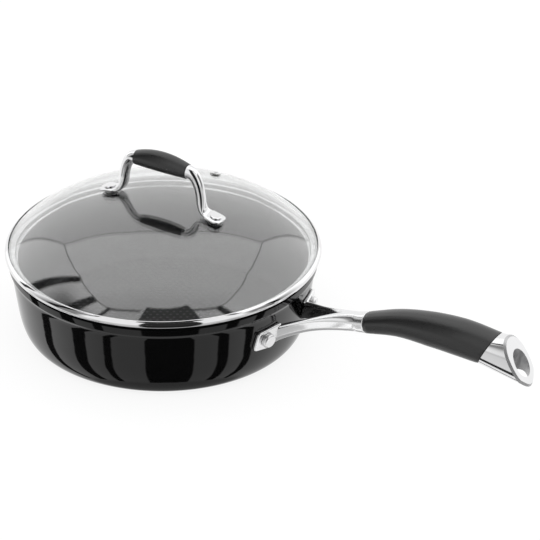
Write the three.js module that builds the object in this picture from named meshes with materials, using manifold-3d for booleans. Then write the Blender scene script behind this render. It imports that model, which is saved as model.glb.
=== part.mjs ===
// Deep frying pan with a domed glass lid. Millimetres, +Z up.
// The origin is the centre of the resting face of the base, and the long handle points along +X.

import * as THREE from 'three';
import { mergeVertices } from 'three/addons/utils/BufferGeometryUtils.js';
import Module from 'manifold-3d';

const wasm = await Module();
wasm.setup();

// Clearances
const fit = 0.3; // between two pieces that are cut to each other or lie on each other
const shankFit = 0.35; // round a rivet or bolt shank

// Fineness: facets round a turned piece or a section, and steps along a curve
const bigFacets = 48;
const smallFacets = 14;
const sectionFacets = 18;
const nutSides = 6;
const profileSteps = 4;
const stripSteps = 2;
const domeSteps = 4; // on each of the two curves of the dome
const armStations = 9;
const bendSteps = 5;
const bowGripSteps = 8;
const rowSteps = 2; // between two given sections of the long handle
const footSteps = 4; // round one corner of a foot plate
const footEdgeSteps = 2;
const weldReach = 1e-4; // corners nearer than this are one

// Turned heads: how much of the radius lies under the crown, and how high the edge and its shoulder stand
const headCrown = 0.83;
const headSide = 0.66;
const headShoulder = 0.94;

// Pan body
const panHeight = 68.1;
const lipRadius = 122.3;
const lipHeight = 7.6; // upright band below the rim
const lipStep = 1.9; // how far the band stands out from the wall
const coveHeight = 3; // hollow sweep under the band
const coveSweep = 0.2; // share of the step that the cove takes before it turns out
const wallThickness = 3.3;
const wallDraft = THREE.MathUtils.degToRad(8.4);
const kneeHeight = 28; // where the wall starts to turn into the base
const kneeRun = 19; // radius lost round the knee
const kneeFullness = 0.83; // how far the knee curve follows the wall
const kneeFlat = 0.6; // how far it follows the base
const floorThickness = 5;
const floorBlend = 15; // radius lost in the inner corner
const floorFlat = 0.6; // how far that corner follows the floor

// Steel disc in the base
const plateInset = 11; // ring of the pan body left round the disc
const plateThickness = 2.2;
const plateChamfer = 0.6;

// Long handle: foot plates, rivets and fork
const rivetAngle = THREE.MathUtils.degToRad(16); // from the handle plane to each rivet
const rivetHeight = 38.8;
const footThickness = 2.9;
const footTip = new THREE.Vector2(15.5, 9.6); // foot corners: towards the fork, then up the wall
const footShoulder = new THREE.Vector2(-9.6, 8.4);
const footToe = new THREE.Vector2(-13, -7.2);
const footHeel = new THREE.Vector2(5.4, -10);
const footCorner = 3.4;
const footEdge = 0.9;
const rivetShank = 3; // radius
const rivetHead = 5.9; // radius
const rivetHeadRise = 4.1;
const rivetTail = 5.6; // radius of the flat head inside the pan
const rivetTailRise = 1.5;
const armRootWide = 3.4; // half widths and half heights of one fork arm
const armRootTall = 8;
const armWaistWide = 2.8;
const armWaistTall = 5.9;
const armTipWide = 5.5;
const armTipTall = 6;
const armSink = 5; // start of an arm inside the wall line
const armLead = THREE.MathUtils.degToRad(2.7); // arm root, from the rivet towards the handle plane
const armDrop = 4.9; // arm root below the rivets
const armLeave = new THREE.Vector3(13.4, 9.8, 10.6); // how an arm leaves its root: outwards, inwards and up
const armTipRun = 11; // an arm's tip lies this far along the neck
const armMeetRun = 16.4; // how far an arm follows the neck before its tip
const armPower = 2.5; // squareness of the arm section, 2 is an ellipse
const creaseAt = 0.3; // crease below the middle of an arm, as a share of its half height
const creasePinch = 0.5;

// Long handle: grip, core and end cap. Reach is from the wall, rise is from the rivets.
const handleSections = {
  throat: { reach: 41, rise: 13.6, wide: 4.4, tall: 4.8, lean: 8 },
  neck: { reach: 51, rise: 15.2, wide: 6.4, tall: 7.4, lean: 12 },
  gripStart: { reach: 69.3, rise: 19.8, wide: 8.5, tall: 8.5, lean: 6 },
  gripLow: { reach: 97.8, rise: 27.8, wide: 10.4, tall: 10.8, lean: 4 },
  gripMid: { reach: 126.8, rise: 30.7, wide: 12.3, tall: 13.7, lean: 0 },
  gripHigh: { reach: 151.8, rise: 31.2, wide: 13.2, tall: 15, lean: -8 },
  gripEnd: { reach: 176.8, rise: 29.3, wide: 13.2, tall: 15.3, lean: -27.5 },
  face: { reach: 203.2, rise: 26.1, wide: 13.9, tall: 21.5, lean: 30.7 },
};
const gripPower = 2.25; // squareness of the grip section, 2 is an ellipse
const capPinch = 0.3; // the cap narrows towards its underside
const capCreaseAt = 0.62; // below the middle of the cap's face
const coreWide = 4.6; // half width of the steel core inside the grip
const coreTall = 5;
const coreInCap = 0.3; // share of the cap that the core enters
const gripStep = 0.02; // length over which the neck drops to the core
const capBevelDepth = 2;
const capBevelWidth = 2;
const holeReach = 3; // length of the hole's cutter, in half heights of the face
const hangHoleLong = 8.5; // half sizes of the hanging hole, along and across the handle
const hangHoleWide = 8.4;
const hangHoleShift = 1.45; // from the middle of the slanted face, outwards
const hangHoleLean = THREE.MathUtils.degToRad(16); // down and in, towards the grip
const hangHoleFlare = 1.6; // widening at the underside
const hangHoleFlareDepth = 4.8;
const hangHoleFlareInside = 0.85; // share of the flare that lies inside the cap

// Lid rim band and glass
const lidOverhang = 2.7; // beyond the lip of the pan
const seatGap = 0.35; // between the rim of the pan and the band
const bandHeight = 6;
const bandGauge = 0.9;
const bandCover = 2.9; // how far the band reaches over the glass
const bandCorner = 1.8;
const skirtGap = 3.2; // between the skirt and the inside of the rim
const skirtDepth = 4.2;
const skirtHem = 1.4; // inward turn of the skirt's lower edge
const glassThickness = 4;
const glassInBand = 2; // from the outside of the band to the ground edge of the glass
const domeRise = 40.3; // crown above the glass at the edge of the band
const crownRadius = 238;
const crownShare = 0.66; // share of the lid radius under the crown curve

// Lid bow handle and its bolts
const boltReach = 48.2; // from the lid axis to each bolt
const boltShank = 2.4; // radius
const boltHead = 4.7; // radius
const boltHeadRise = 1.3;
const spacerRadius = 5.7;
const spacerThickness = 1;
const topWasherThickness = 0.5;
const topWasherRadius = 5.4;
const bottomWasherThickness = 1.2;
const bottomWasherRadius = 6.6;
const nutRadius = 5.6; // across the corners
const nutHeight = 5;
const nutRoof = 1.2;
const padThickness = 2.6; // flattened foot of the bow
const padRadius = 7.2;
const padPower = 3; // squareness of the pad's tip, 2 is round
const barRadius = 3.8; // leg of the bow
const collarRadius = 5.6; // where the bow meets its grip
const instepLength = 5.8; // from the spacer's edge to the foot of the leg
const legTopReach = 33.6; // from the lid axis to the top of a leg
const legTopRise = 26.5; // above the pads
const legMiddleRise = 15; // where the instep ends and the upper bend starts
const instepPull = 5.4; // how far the instep follows the pad
const instepPush = 9; // how far it follows the leg
const bendPush = 12.8; // how far the upper bend follows the leg
const bendPull = 5.6; // how far it follows the grip
const padSlices = [0.985, 0.88, 0.62, 0.3, 0]; // sections of the pad's round tip, as shares of its radius
const bowRise = 33.2; // grip axis above the pads
const bowGripHalf = 23.8; // half length of the bow grip
const bowCore = 3.4; // radius of the bar inside the grip
const bowGripEndWide = 5.7;
const bowGripMidWide = 7;
const bowGripEndTop = 5.8; // above the bar axis
const bowGripMidTop = 10.4;
const bowGripUnder = 5.7; // flat underside below the bar axis

// Steam vent
const ventReach = 78.7; // from the lid axis, square to the handle
const ventBore = 1.8; // radius
const ventTube = 2.7; // radius
const ventFlange = 3.9; // radius
const ventFlangeRise = 0.6;
const ventGrommet = 4.5; // radius
const ventGrommetRise = 0.5;

// Materials
const enamel = { color: 0x0b0b0c, roughness: 0.08, metalness: 0 };
const polished = { color: 0xd9dadb, roughness: 0.12, metalness: 1 };
const brushed = { color: 0xb4b5b6, roughness: 0.35, metalness: 1 };
const blackened = { color: 0x232324, roughness: 0.42, metalness: 1 };
const silicone = { color: 0x1c1c1d, roughness: 0.62, metalness: 0 };
const clearGlass = { color: 0xd5dad8, roughness: 0.03, metalness: 0, transparent: true, opacity: 0.35 };
const clearSilicone = { color: 0xc9cac8, roughness: 0.5, metalness: 0 };

// Sizes that follow from the ones above
const lipFoot = panHeight - lipHeight;
const wallTop = lipFoot - coveHeight;
const wallTopRadius = lipRadius - lipStep;
const wallRadiusAt = (height) => wallTopRadius - (wallTop - height) * Math.tan(wallDraft);
const kneeRadius = wallRadiusAt(kneeHeight);
const footRadius = kneeRadius - kneeRun;
const plateRadius = footRadius - plateInset;
const rimInner = lipRadius - wallThickness;
const rimRound = wallThickness / 2;
const seatRadius = wallRadiusAt(rivetHeight);
const lidRadius = lipRadius + lidOverhang;
const bandBottom = panHeight + seatGap;
const bandLip = lidRadius - bandCover;
const glassEdge = lidRadius - glassInBand;
const skirtRadius = rimInner - skirtGap;

// A welded closed solid, facing outwards, from any three.js geometry
function solidOf(geometry) {
  const bare = geometry.clone();
  bare.deleteAttribute('normal');
  bare.deleteAttribute('uv');
  const welded = mergeVertices(bare, weldReach);
  const spots = welded.getAttribute('position');
  const corners = welded.index;
  const kept = [];
  const [a, b, c] = [new THREE.Vector3(), new THREE.Vector3(), new THREE.Vector3()];
  let volume = 0;
  for (let i = 0; i < corners.count; i += 3) {
    const face = [corners.getX(i), corners.getX(i + 1), corners.getX(i + 2)];
    const sliver = face[0] === face[1] || face[1] === face[2] || face[2] === face[0];
    if (!sliver) {
      a.fromBufferAttribute(spots, face[0]);
      b.fromBufferAttribute(spots, face[1]);
      c.fromBufferAttribute(spots, face[2]);
      volume += a.dot(b.cross(c));
      kept.push(face);
    }
  }
  const facing = volume < 0 ? kept.map(([p, q, r]) => [p, r, q]) : kept;
  return new wasm.Manifold(new wasm.Mesh({
    numProp: 3,
    vertProperties: new Float32Array(spots.array),
    triVerts: new Uint32Array(facing.flat()),
  }));
}

// A named mesh from a solid
function piece(name, solid, look) {
  const hull = solid.getMesh();
  const geometry = new THREE.BufferGeometry();
  geometry.setAttribute('position', new THREE.Float32BufferAttribute(hull.vertProperties, 3));
  geometry.setIndex(new THREE.Uint32BufferAttribute(hull.triVerts, 1));
  geometry.computeVertexNormals();
  const mesh = new THREE.Mesh(geometry, new THREE.MeshStandardMaterial(look));
  mesh.name = name;
  return mesh;
}

// A profile of (radius, height) points turned about +Z
function turn(profile, facets) {
  const lathe = new THREE.LatheGeometry(profile, facets);
  lathe.rotateX(Math.PI / 2);
  return solidOf(lathe);
}

// A ring section closed on itself
function closed(profile) {
  return [...profile, profile[0].clone()];
}

const at = (radius, height) => new THREE.Vector2(radius, height);

// A flat ring or disc round +Z
function ring(inner, outer, low, high) {
  return turn(closed([at(inner, low), at(outer, low), at(outer, high), at(inner, high)]), smallFacets);
}

// A shank along +Z, used as a cutter
function shank(radius, low, high, facets = smallFacets) {
  const rod = new THREE.CylinderGeometry(radius, radius, high - low, facets);
  rod.rotateX(Math.PI / 2);
  rod.translate(0, 0, (high + low) / 2);
  return rod;
}

// A skin through rounded sections. Each section has a middle, a side and an up direction,
// half sizes, a roundness, a crease below its middle and a pinch of its part below the crease.
function loft(sections, facets = sectionFacets) {
  const last = sections.length - 1;
  const skin = new THREE.CylinderGeometry(1, 1, 1, facets, last);
  const spots = skin.getAttribute('position');
  for (let i = 0; i < spots.count; i += 1) {
    const section = sections[Math.round((spots.getY(i) + 0.5) * last)];
    const bend = 2 / (section.power ?? 2);
    const across = Math.sign(spots.getX(i)) * Math.abs(spots.getX(i)) ** bend;
    const upward = Math.sign(spots.getZ(i)) * Math.abs(spots.getZ(i)) ** bend;
    const crease = section.crease ?? creaseAt;
    const below = Math.max(0, -upward - crease) / (1 - crease);
    const width = section.wide * (1 - (section.pinch ?? 0) * below);
    const under = section.under ?? section.tall;
    const spot = section.middle.clone();
    spot.addScaledVector(section.side, across * width);
    spot.addScaledVector(section.up, upward * (upward > 0 ? section.tall : under));
    spots.setXYZ(i, spot.x, spot.y, spot.z);
  }
  return solidOf(skin);
}

// Pan body: an outer curve from the base to the lip, a rolled rim, and an inner curve to the floor
function outerWall(path, grow) {
  const slope = Math.sin(wallDraft);
  const pull = kneeHeight * kneeFullness;
  path.lineTo(footRadius + grow, -grow);
  path.bezierCurveTo(
    footRadius + kneeRun * kneeFlat + grow, -grow,
    kneeRadius - pull * slope + grow, kneeHeight - pull,
    kneeRadius + grow, kneeHeight,
  );
  path.lineTo(wallTopRadius + grow, wallTop);
  path.quadraticCurveTo(
    wallTopRadius + lipStep * coveSweep + grow, lipFoot - lipStep,
    lipRadius + grow, lipFoot,
  );
}

const bodyPath = new THREE.Path();
bodyPath.moveTo(0, plateThickness + fit);
bodyPath.lineTo(plateRadius + fit, plateThickness + fit);
bodyPath.lineTo(plateRadius + fit, 0);
outerWall(bodyPath, 0);
bodyPath.lineTo(lipRadius, panHeight - rimRound);
bodyPath.absarc(lipRadius - rimRound, panHeight - rimRound, rimRound, 0, Math.PI, false);
bodyPath.lineTo(kneeRadius - wallThickness, kneeHeight);
bodyPath.bezierCurveTo(
  kneeRadius - wallThickness - (kneeHeight - floorThickness) * kneeFullness * Math.sin(wallDraft),
  kneeHeight - (kneeHeight - floorThickness) * kneeFullness,
  kneeRadius - wallThickness - floorBlend * floorFlat, floorThickness,
  kneeRadius - wallThickness - floorBlend, floorThickness,
);
bodyPath.lineTo(0, floorThickness);

// The outside of the pan, grown by the clearance, trims whatever is fastened to the wall
const envelopePath = new THREE.Path();
envelopePath.moveTo(0, -fit);
outerWall(envelopePath, fit);
envelopePath.lineTo(lipRadius + fit, panHeight);
envelopePath.lineTo(0, panHeight);

const envelope = turn(envelopePath.getPoints(profileSteps), bigFacets);

// Each rivet stands square to the wall. Its frame has +Z along the rivet, outwards.
function rivetFrame(sign) {
  const angle = sign * rivetAngle;
  const outward = new THREE.Vector3(Math.cos(angle), Math.sin(angle), -Math.tan(wallDraft)).normalize();
  const along = new THREE.Vector3(Math.sin(angle), -Math.cos(angle), 0).multiplyScalar(sign);
  const upWall = new THREE.Vector3().crossVectors(outward, along);
  upWall.multiplyScalar(Math.sign(upWall.z));
  const frame = new THREE.Matrix4().makeBasis(along, upWall, outward);
  frame.setPosition(seatRadius * Math.cos(angle), seatRadius * Math.sin(angle), rivetHeight);
  return frame;
}

// Outline of a turned head, from its edge to the middle of its crown; a negative rise points down
function headOutline(radius, base, rise) {
  return [
    at(radius, base),
    at(radius, base + rise * headSide),
    at(radius * headCrown, base + rise * headShoulder),
    at(0, base + rise),
  ];
}

const rivetTailLow = -wallThickness - fit;
const rivetHeadLow = footThickness + fit;
const rivetProfile = [
  ...headOutline(rivetTail, rivetTailLow, -rivetTailRise).toReversed(),
  at(rivetShank, rivetTailLow),
  at(rivetShank, rivetHeadLow),
  ...headOutline(rivetHead, rivetHeadLow, rivetHeadRise),
];
const rivet = turn(rivetProfile, smallFacets);

let panBody = turn(bodyPath.getPoints(profileSteps), bigFacets);
let bracketCut = envelope;
for (const sign of [1, -1]) {
  const bore = shank(rivetShank + shankFit, rivetTailLow - wallThickness, rivetHeadLow + footThickness);
  bore.applyMatrix4(rivetFrame(sign));
  panBody = panBody.subtract(solidOf(bore));
  bracketCut = bracketCut.add(solidOf(bore));
}

// Fork foot: a rounded leaf plate square to its rivet, trimmed to the wall later
function footPlate(sign) {
  const corners = [footTip, footShoulder, footToe, footHeel];
  const outline = new THREE.Shape();
  corners.forEach((corner, i) => {
    const before = corners[(i + corners.length - 1) % corners.length];
    const after = corners[(i + 1) % corners.length];
    const start = before.clone().sub(corner).setLength(footCorner).add(corner);
    const end = after.clone().sub(corner).setLength(footCorner).add(corner);
    if (i === 0) {
      outline.moveTo(start.x, start.y);
    } else {
      outline.lineTo(start.x, start.y);
    }
    outline.quadraticCurveTo(corner.x, corner.y, end.x, end.y);
  });
  const plate = new THREE.ExtrudeGeometry(outline, {
    depth: footThickness * 2 - footEdge * 2,
    curveSegments: footSteps,
    bevelEnabled: true,
    bevelSegments: footEdgeSteps,
    bevelSize: footEdge,
    bevelOffset: -footEdge,
    bevelThickness: footEdge,
  });
  plate.translate(0, 0, footEdge - footThickness);
  plate.applyMatrix4(rivetFrame(sign));
  return solidOf(plate);
}

// A section of the long handle, square to the middle plane and leaning by its own angle
function handleSection(row, change = {}) {
  const { reach, rise, wide, tall, lean, pinch = 0 } = { ...row, ...change };
  const tilt = THREE.MathUtils.degToRad(lean);
  return {
    middle: new THREE.Vector3(seatRadius + reach, 0, rivetHeight + rise),
    side: new THREE.Vector3(0, -1, 0),
    up: new THREE.Vector3(-Math.sin(tilt), 0, Math.cos(tilt)),
    axis: new THREE.Vector3(Math.cos(tilt), 0, Math.sin(tilt)),
    wide,
    tall,
    power: gripPower,
    pinch,
  };
}

function moved(section, distance, change = {}) {
  const middle = section.middle.clone().addScaledVector(section.axis, distance);
  return { ...section, middle, ...change };
}

// Rows eased between the given ones by a smooth curve through them
function eased(given, between) {
  const places = given.map((row) => new THREE.Vector3(row.reach, row.rise, row.lean));
  const sizes = given.map((row) => new THREE.Vector3(row.wide, row.tall, 0));
  const place = new THREE.CatmullRomCurve3(places);
  const size = new THREE.CatmullRomCurve3(sizes);
  const steps = (given.length - 1) * between;
  return Array.from({ length: steps + 1 }, (_, i) => {
    const spot = place.getPoint(i / steps);
    const span = size.getPoint(i / steps);
    return { reach: spot.x, rise: spot.y, lean: spot.z, wide: span.x, tall: span.y };
  });
}

const rows = handleSections;
const gripRows = eased([rows.gripStart, rows.gripLow, rows.gripMid, rows.gripHigh, rows.gripEnd], rowSteps);

// Fork arm: from inside the wall, over an arch, and along the neck until it lies inside it
function forkArm(sign) {
  const angle = sign * (rivetAngle - armLead);
  const rootSpot = at(seatRadius - armSink, 0).rotateAround(at(0, 0), angle);
  const root = new THREE.Vector3(rootSpot.x, rootSpot.y, rivetHeight - armDrop);
  const leave = root.clone().add(new THREE.Vector3(armLeave.x, -sign * armLeave.y, armLeave.z));
  const neck = handleSection(rows.neck);
  const tip = moved(neck, armTipRun).middle;
  const meet = tip.clone().addScaledVector(neck.axis, -armMeetRun);
  const spine = new THREE.CubicBezierCurve3(root, leave, meet, tip);
  const wide = new THREE.QuadraticBezierCurve(
    at(0, armRootWide), at(0.5, armWaistWide * 2 - (armRootWide + armTipWide) / 2), at(1, armTipWide),
  );
  const tall = new THREE.QuadraticBezierCurve(
    at(0, armRootTall), at(0.5, armWaistTall * 2 - (armRootTall + armTipTall) / 2), at(1, armTipTall),
  );
  const sections = [];
  for (let i = 0; i < armStations; i += 1) {
    const share = i / (armStations - 1);
    const axis = spine.getTangent(share);
    const side = new THREE.Vector3().crossVectors(axis, new THREE.Vector3(0, 0, 1)).normalize();
    sections.push({
      middle: spine.getPoint(share),
      side,
      up: new THREE.Vector3().crossVectors(side, axis),
      wide: wide.getPoint(share).y,
      tall: tall.getPoint(share).y,
      power: armPower,
      pinch: creasePinch * (1 - share),
    });
  }
  return loft(sections);
}

// Steel core through the grip, grown for the bore of the grip and the socket of the cap
function core(grow, first, lastReach) {
  const size = { wide: coreWide + grow, tall: coreTall + grow };
  const start = handleSection(rows.gripStart, size);
  const tip = handleSection(rows.gripEnd, size);
  const capLength = rows.face.reach - rows.gripEnd.reach;
  const inner = gripRows.slice(1, -1).map((row) => handleSection(row, size));
  return [moved(start, first), ...inner, tip, moved(tip, capLength * lastReach)];
}

const shoulder = handleSection(rows.gripStart);
const neckRows = eased([rows.throat, rows.neck, rows.gripStart], rowSteps).slice(0, -1);
const neckLoft = loft([
  ...neckRows.map((row) => handleSection(row)),
  moved(shoulder, -fit - gripStep),
  ...core(0, -fit, coreInCap),
]);
const bracket = neckLoft
  .add(forkArm(1))
  .add(forkArm(-1))
  .add(footPlate(1))
  .add(footPlate(-1))
  .subtract(bracketCut);

// Soft grip: a swelling sleeve on the core
const gripBore = loft(core(fit, -fit * 2, coreInCap));
const grip = loft(gripRows.map((row) => handleSection(row))).subtract(gripBore);

// End cap: drawn from the end of the grip to a slanted, bevelled face, with a hole to hang it by
const joint = handleSection(rows.gripEnd);
const face = { ...handleSection(rows.face, { pinch: capPinch }), crease: capCreaseAt };
const capSkin = loft([
  moved(joint, fit),
  moved(face, -capBevelDepth),
  { ...face, wide: face.wide - capBevelWidth, tall: face.tall - capBevelWidth },
]);
// The hole leans in as it goes down, and widens where it comes out
const capUnder = -face.tall * Math.cos(THREE.MathUtils.degToRad(rows.face.lean));
const hangHole = new THREE.CylinderGeometry(1, 1, face.tall * holeReach, sectionFacets);
const flareWidest = 1 + hangHoleFlare / hangHoleLong;
const holeFlare = new THREE.CylinderGeometry(1, flareWidest, hangHoleFlareDepth, sectionFacets);
holeFlare.translate(0, capUnder + hangHoleFlareDepth * (hangHoleFlareInside - 1 / 2), 0);
for (const cutter of [hangHole, holeFlare]) {
  cutter.rotateX(Math.PI / 2);
  cutter.scale(hangHoleLong, hangHoleWide, 1);
  cutter.rotateY(hangHoleLean);
  cutter.translate(face.middle.x + hangHoleShift, 0, face.middle.z);
}
const socket = loft(core(fit, 0, coreInCap + fit / (rows.face.reach - rows.gripEnd.reach)));
const endCap = capSkin.subtract(socket).subtract(solidOf(hangHole)).subtract(solidOf(holeFlare));

// Induction disc, let into the base and level with it
const plate = turn([
  at(0, 0),
  at(plateRadius - plateChamfer, 0),
  at(plateRadius, plateChamfer),
  at(plateRadius, plateThickness),
  at(0, plateThickness),
], bigFacets);

// Glass dome: a flat crown curve that runs into a tighter shoulder curve
const lipGap = fit + bandGauge / 2;
const edgeHeight = bandBottom + bandHeight - bandGauge - fit;
const crownHeight = edgeHeight + domeRise;
const crownReach = lidRadius * crownShare;
const crownTilt = Math.asin(crownReach / crownRadius);
const crownDrop = crownRadius * (1 - Math.cos(crownTilt));
const bendPoint = at(crownReach, crownHeight - crownDrop);
const bendInward = at(-Math.sin(crownTilt), -Math.cos(crownTilt));
const chord = at(bandLip, edgeHeight).sub(bendPoint);
const shoulderRadius = chord.lengthSq() / (2 * chord.dot(bendInward));
const shoulderCentre = bendPoint.clone().addScaledVector(bendInward, shoulderRadius);
const edgeTilt = Math.asin((glassEdge - shoulderCentre.x) / shoulderRadius);
const lipTilt = Math.asin((bandLip - shoulderCentre.x) / shoulderRadius);

// A point of the glass at a tilt from the axis, raised square to its outer face
function glassPoint(tilt, raise) {
  const crown = tilt <= crownTilt;
  const radius = (crown ? crownRadius : shoulderRadius) + raise;
  const centre = crown ? at(0, crownHeight - crownRadius) : shoulderCentre;
  return at(centre.x + radius * Math.sin(tilt), centre.y + radius * Math.cos(tilt));
}

function glassTilt(reach) {
  if (reach <= crownReach) {
    return Math.asin(reach / crownRadius);
  }
  return Math.asin((reach - shoulderCentre.x) / shoulderRadius);
}

// One face of the glass from the axis to a tilt at its edge
function glassFace(lastTilt, raise) {
  const spots = [];
  for (let i = 0; i < domeSteps; i += 1) {
    spots.push(glassPoint((crownTilt * i) / domeSteps, raise));
  }
  for (let i = 0; i <= domeSteps; i += 1) {
    spots.push(glassPoint(crownTilt + ((lastTilt - crownTilt) * i) / domeSteps, raise));
  }
  return spots;
}

// The edge of the glass is ground upright, and flat where it sits in the band
const grindHeight = bandBottom + bandGauge + fit;
const grindTilt = Math.acos((grindHeight - shoulderCentre.y) / (shoulderRadius - glassThickness));
const glassProfile = [
  ...glassFace(edgeTilt, 0),
  at(glassEdge, grindHeight),
  ...glassFace(grindTilt, -glassThickness).toReversed(),
];
glassProfile[0].x = 0;
glassProfile[glassProfile.length - 1].x = 0;

// Lid fittings stand square to the glass. Their frame has +Z out of the glass.
function glassFrame(reach, turnAngle) {
  const tilt = glassTilt(reach);
  const spot = glassPoint(tilt, 0);
  const frame = new THREE.Matrix4().makeRotationZ(turnAngle);
  frame.multiply(new THREE.Matrix4().makeTranslation(spot.x, 0, spot.y));
  return frame.multiply(new THREE.Matrix4().makeRotationY(tilt));
}

const boltFrames = { front: glassFrame(boltReach, 0), rear: glassFrame(boltReach, Math.PI) };
const ventFrame = glassFrame(ventReach, Math.PI / 2);
let glass = turn(glassProfile, bigFacets);
for (const frame of Object.values(boltFrames)) {
  const bore = shank(boltShank + shankFit, -glassThickness * 2, glassThickness);
  glass = glass.subtract(solidOf(bore.applyMatrix4(frame)));
}
const ventHole = shank(ventTube + shankFit, -glassThickness * 2, glassThickness);
glass = glass.subtract(solidOf(ventHole.applyMatrix4(ventFrame)));

// Rim band: one strip rolled over the glass edge, down the outside, under it and into a hemmed skirt
const lipStart = glassPoint(lipTilt, lipGap);
const lipDown = at(Math.cos(lipTilt), -Math.sin(lipTilt));
const bandWall = lidRadius - bandGauge / 2;
const bandSeat = bandBottom + bandGauge / 2;
const brow = lipStart.clone().addScaledVector(lipDown, (bandWall - lipStart.x) / lipDown.x);
const browStart = brow.clone().addScaledVector(lipDown, -bandCorner);
const skirtCentre = skirtRadius - bandGauge / 2;
const bandPath = new THREE.Path();
bandPath.moveTo(lipStart.x, lipStart.y);
bandPath.lineTo(browStart.x, browStart.y);
bandPath.quadraticCurveTo(brow.x, brow.y, bandWall, brow.y - bandCorner);
bandPath.lineTo(bandWall, bandSeat + bandGauge);
bandPath.quadraticCurveTo(bandWall, bandSeat, bandWall - bandGauge, bandSeat);
bandPath.lineTo(skirtCentre + bandGauge, bandSeat);
bandPath.quadraticCurveTo(skirtCentre, bandSeat, skirtCentre, bandSeat - bandGauge);
bandPath.lineTo(skirtCentre, bandBottom - skirtDepth + skirtHem);
bandPath.quadraticCurveTo(
  skirtCentre, bandBottom - skirtDepth,
  skirtCentre - skirtHem, bandBottom - skirtDepth,
);

// A strip of even gauge along a path, as a closed section
function strip(path, gauge) {
  const middle = path.getPoints(stripSteps);
  const sideways = middle.map((spot, i) => {
    const before = middle[Math.max(i - 1, 0)];
    const after = middle[Math.min(i + 1, middle.length - 1)];
    const along = after.clone().sub(before).normalize();
    return at(-along.y, along.x);
  });
  const left = middle.map((spot, i) => spot.clone().addScaledVector(sideways[i], gauge / 2));
  const right = middle.map((spot, i) => spot.clone().addScaledVector(sideways[i], -gauge / 2));
  return closed([...left, ...right.toReversed()]);
}

const band = turn(strip(bandPath, bandGauge), bigFacets);

// Bolt stack, from the glass upwards and downwards
const washerLow = fit;
const spacerLow = washerLow + topWasherThickness + fit;
const padLow = spacerLow + spacerThickness + fit;
const headLow = padLow + padThickness + fit;
const underWasherHigh = -glassThickness - fit - bottomWasherRadius ** 2 / (2 * crownRadius);
const nutHigh = underWasherHigh - bottomWasherThickness - fit;
const boltTip = nutHigh - nutHeight + nutRoof + fit;
const boltProfile = [
  at(0, boltTip),
  at(boltShank, boltTip),
  at(boltShank, headLow),
  ...headOutline(boltHead, headLow, boltHeadRise),
];
const boltHole = boltShank + shankFit;
const nutBlank = shank(nutRadius, nutHigh - nutHeight, nutHigh, nutSides);
const nutBore = shank(boltHole, nutHigh - nutHeight + nutRoof, nutHigh + fit);
const nut = solidOf(nutBlank).subtract(solidOf(nutBore));
const boltSet = {
  lid_bolt: [turn(boltProfile, smallFacets), polished],
  lid_spacer: [ring(boltHole, spacerRadius, spacerLow, spacerLow + spacerThickness), polished],
  lid_top_washer: [ring(boltHole, topWasherRadius, washerLow, washerLow + topWasherThickness), silicone],
  lid_bottom_washer: [
    ring(boltHole, bottomWasherRadius, underWasherHigh - bottomWasherThickness, underWasherHigh),
    silicone,
  ],
  lid_nut: [nut, blackened],
};

// Bow handle: pads on the bolts, legs that lean in, collars at the grip and a round bar through it
const padMiddle = new THREE.Vector3(0, 0, padLow + padThickness / 2).applyMatrix4(boltFrames.front);
const padOut = new THREE.Vector3(1, 0, 0).transformDirection(boltFrames.front);
const axisHeight = padMiddle.z + bowRise;
const heel = padMiddle.clone().addScaledVector(padOut, -spacerRadius - fit);
const legFoot = new THREE.Vector3(heel.x - instepLength, 0, padMiddle.z);
const legTop = new THREE.Vector3(legTopReach, 0, padMiddle.z + legTopRise);
const legAxis = legTop.clone().sub(legFoot).normalize();
const legMiddle = legFoot.clone().addScaledVector(legAxis, legMiddleRise);
const collar = new THREE.Vector3(bowGripHalf + fit, 0, axisHeight);
const instep = new THREE.CubicBezierCurve3(
  heel,
  heel.clone().addScaledVector(padOut, -instepPull),
  legMiddle.clone().addScaledVector(legAxis, -instepPush),
  legMiddle,
);
const upperBend = new THREE.CubicBezierCurve3(
  legMiddle,
  legMiddle.clone().addScaledVector(legAxis, bendPush),
  collar.clone().setX(collar.x + bendPull),
  collar.clone().setX(collar.x + gripStep),
);

function bowSection(middle, axis, wide, tall) {
  const side = new THREE.Vector3(0, -1, 0);
  return { middle, side, up: new THREE.Vector3().crossVectors(side, axis), wide, tall };
}

// The pad is rounded at its tip, the instep thickens it into a round bar, and the bar swells to the collar
const padSections = padSlices.map((share) => bowSection(
  padMiddle.clone().addScaledVector(padOut, padRadius * share),
  padOut.clone().negate(),
  padRadius * (1 - share ** padPower) ** (1 / padPower),
  padThickness / 2,
));
const instepSections = [];
const bendSections = [];
for (let i = 0; i <= bendSteps; i += 1) {
  const share = i / bendSteps;
  const ease = THREE.MathUtils.smoothstep(share, 0, 1);
  const swell = share ** 2;
  instepSections.push(bowSection(
    instep.getPoint(share),
    instep.getTangent(share),
    THREE.MathUtils.lerp(padRadius, barRadius, Math.sqrt(share)),
    THREE.MathUtils.lerp(padThickness / 2, barRadius, ease),
  ));
  bendSections.push(bowSection(
    upperBend.getPoint(share),
    upperBend.getTangent(share),
    THREE.MathUtils.lerp(barRadius, collarRadius, swell),
    THREE.MathUtils.lerp(barRadius, collarRadius, swell),
  ));
}
const barSection = (x, radius) => ({
  middle: new THREE.Vector3(x, 0, axisHeight),
  side: new THREE.Vector3(0, -1, 0),
  up: new THREE.Vector3(0, 0, 1),
  wide: radius,
  tall: radius,
});
const legSections = [
  ...padSections,
  ...instepSections,
  ...bendSections.slice(1),
  barSection(collar.x, bowCore),
];
const mirrored = legSections.toReversed().map((section) => ({
  ...section,
  middle: section.middle.clone().setX(-section.middle.x),
  up: section.up.clone().setX(-section.up.x),
}));
let bow = loft([...legSections, ...mirrored], smallFacets);
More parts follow.
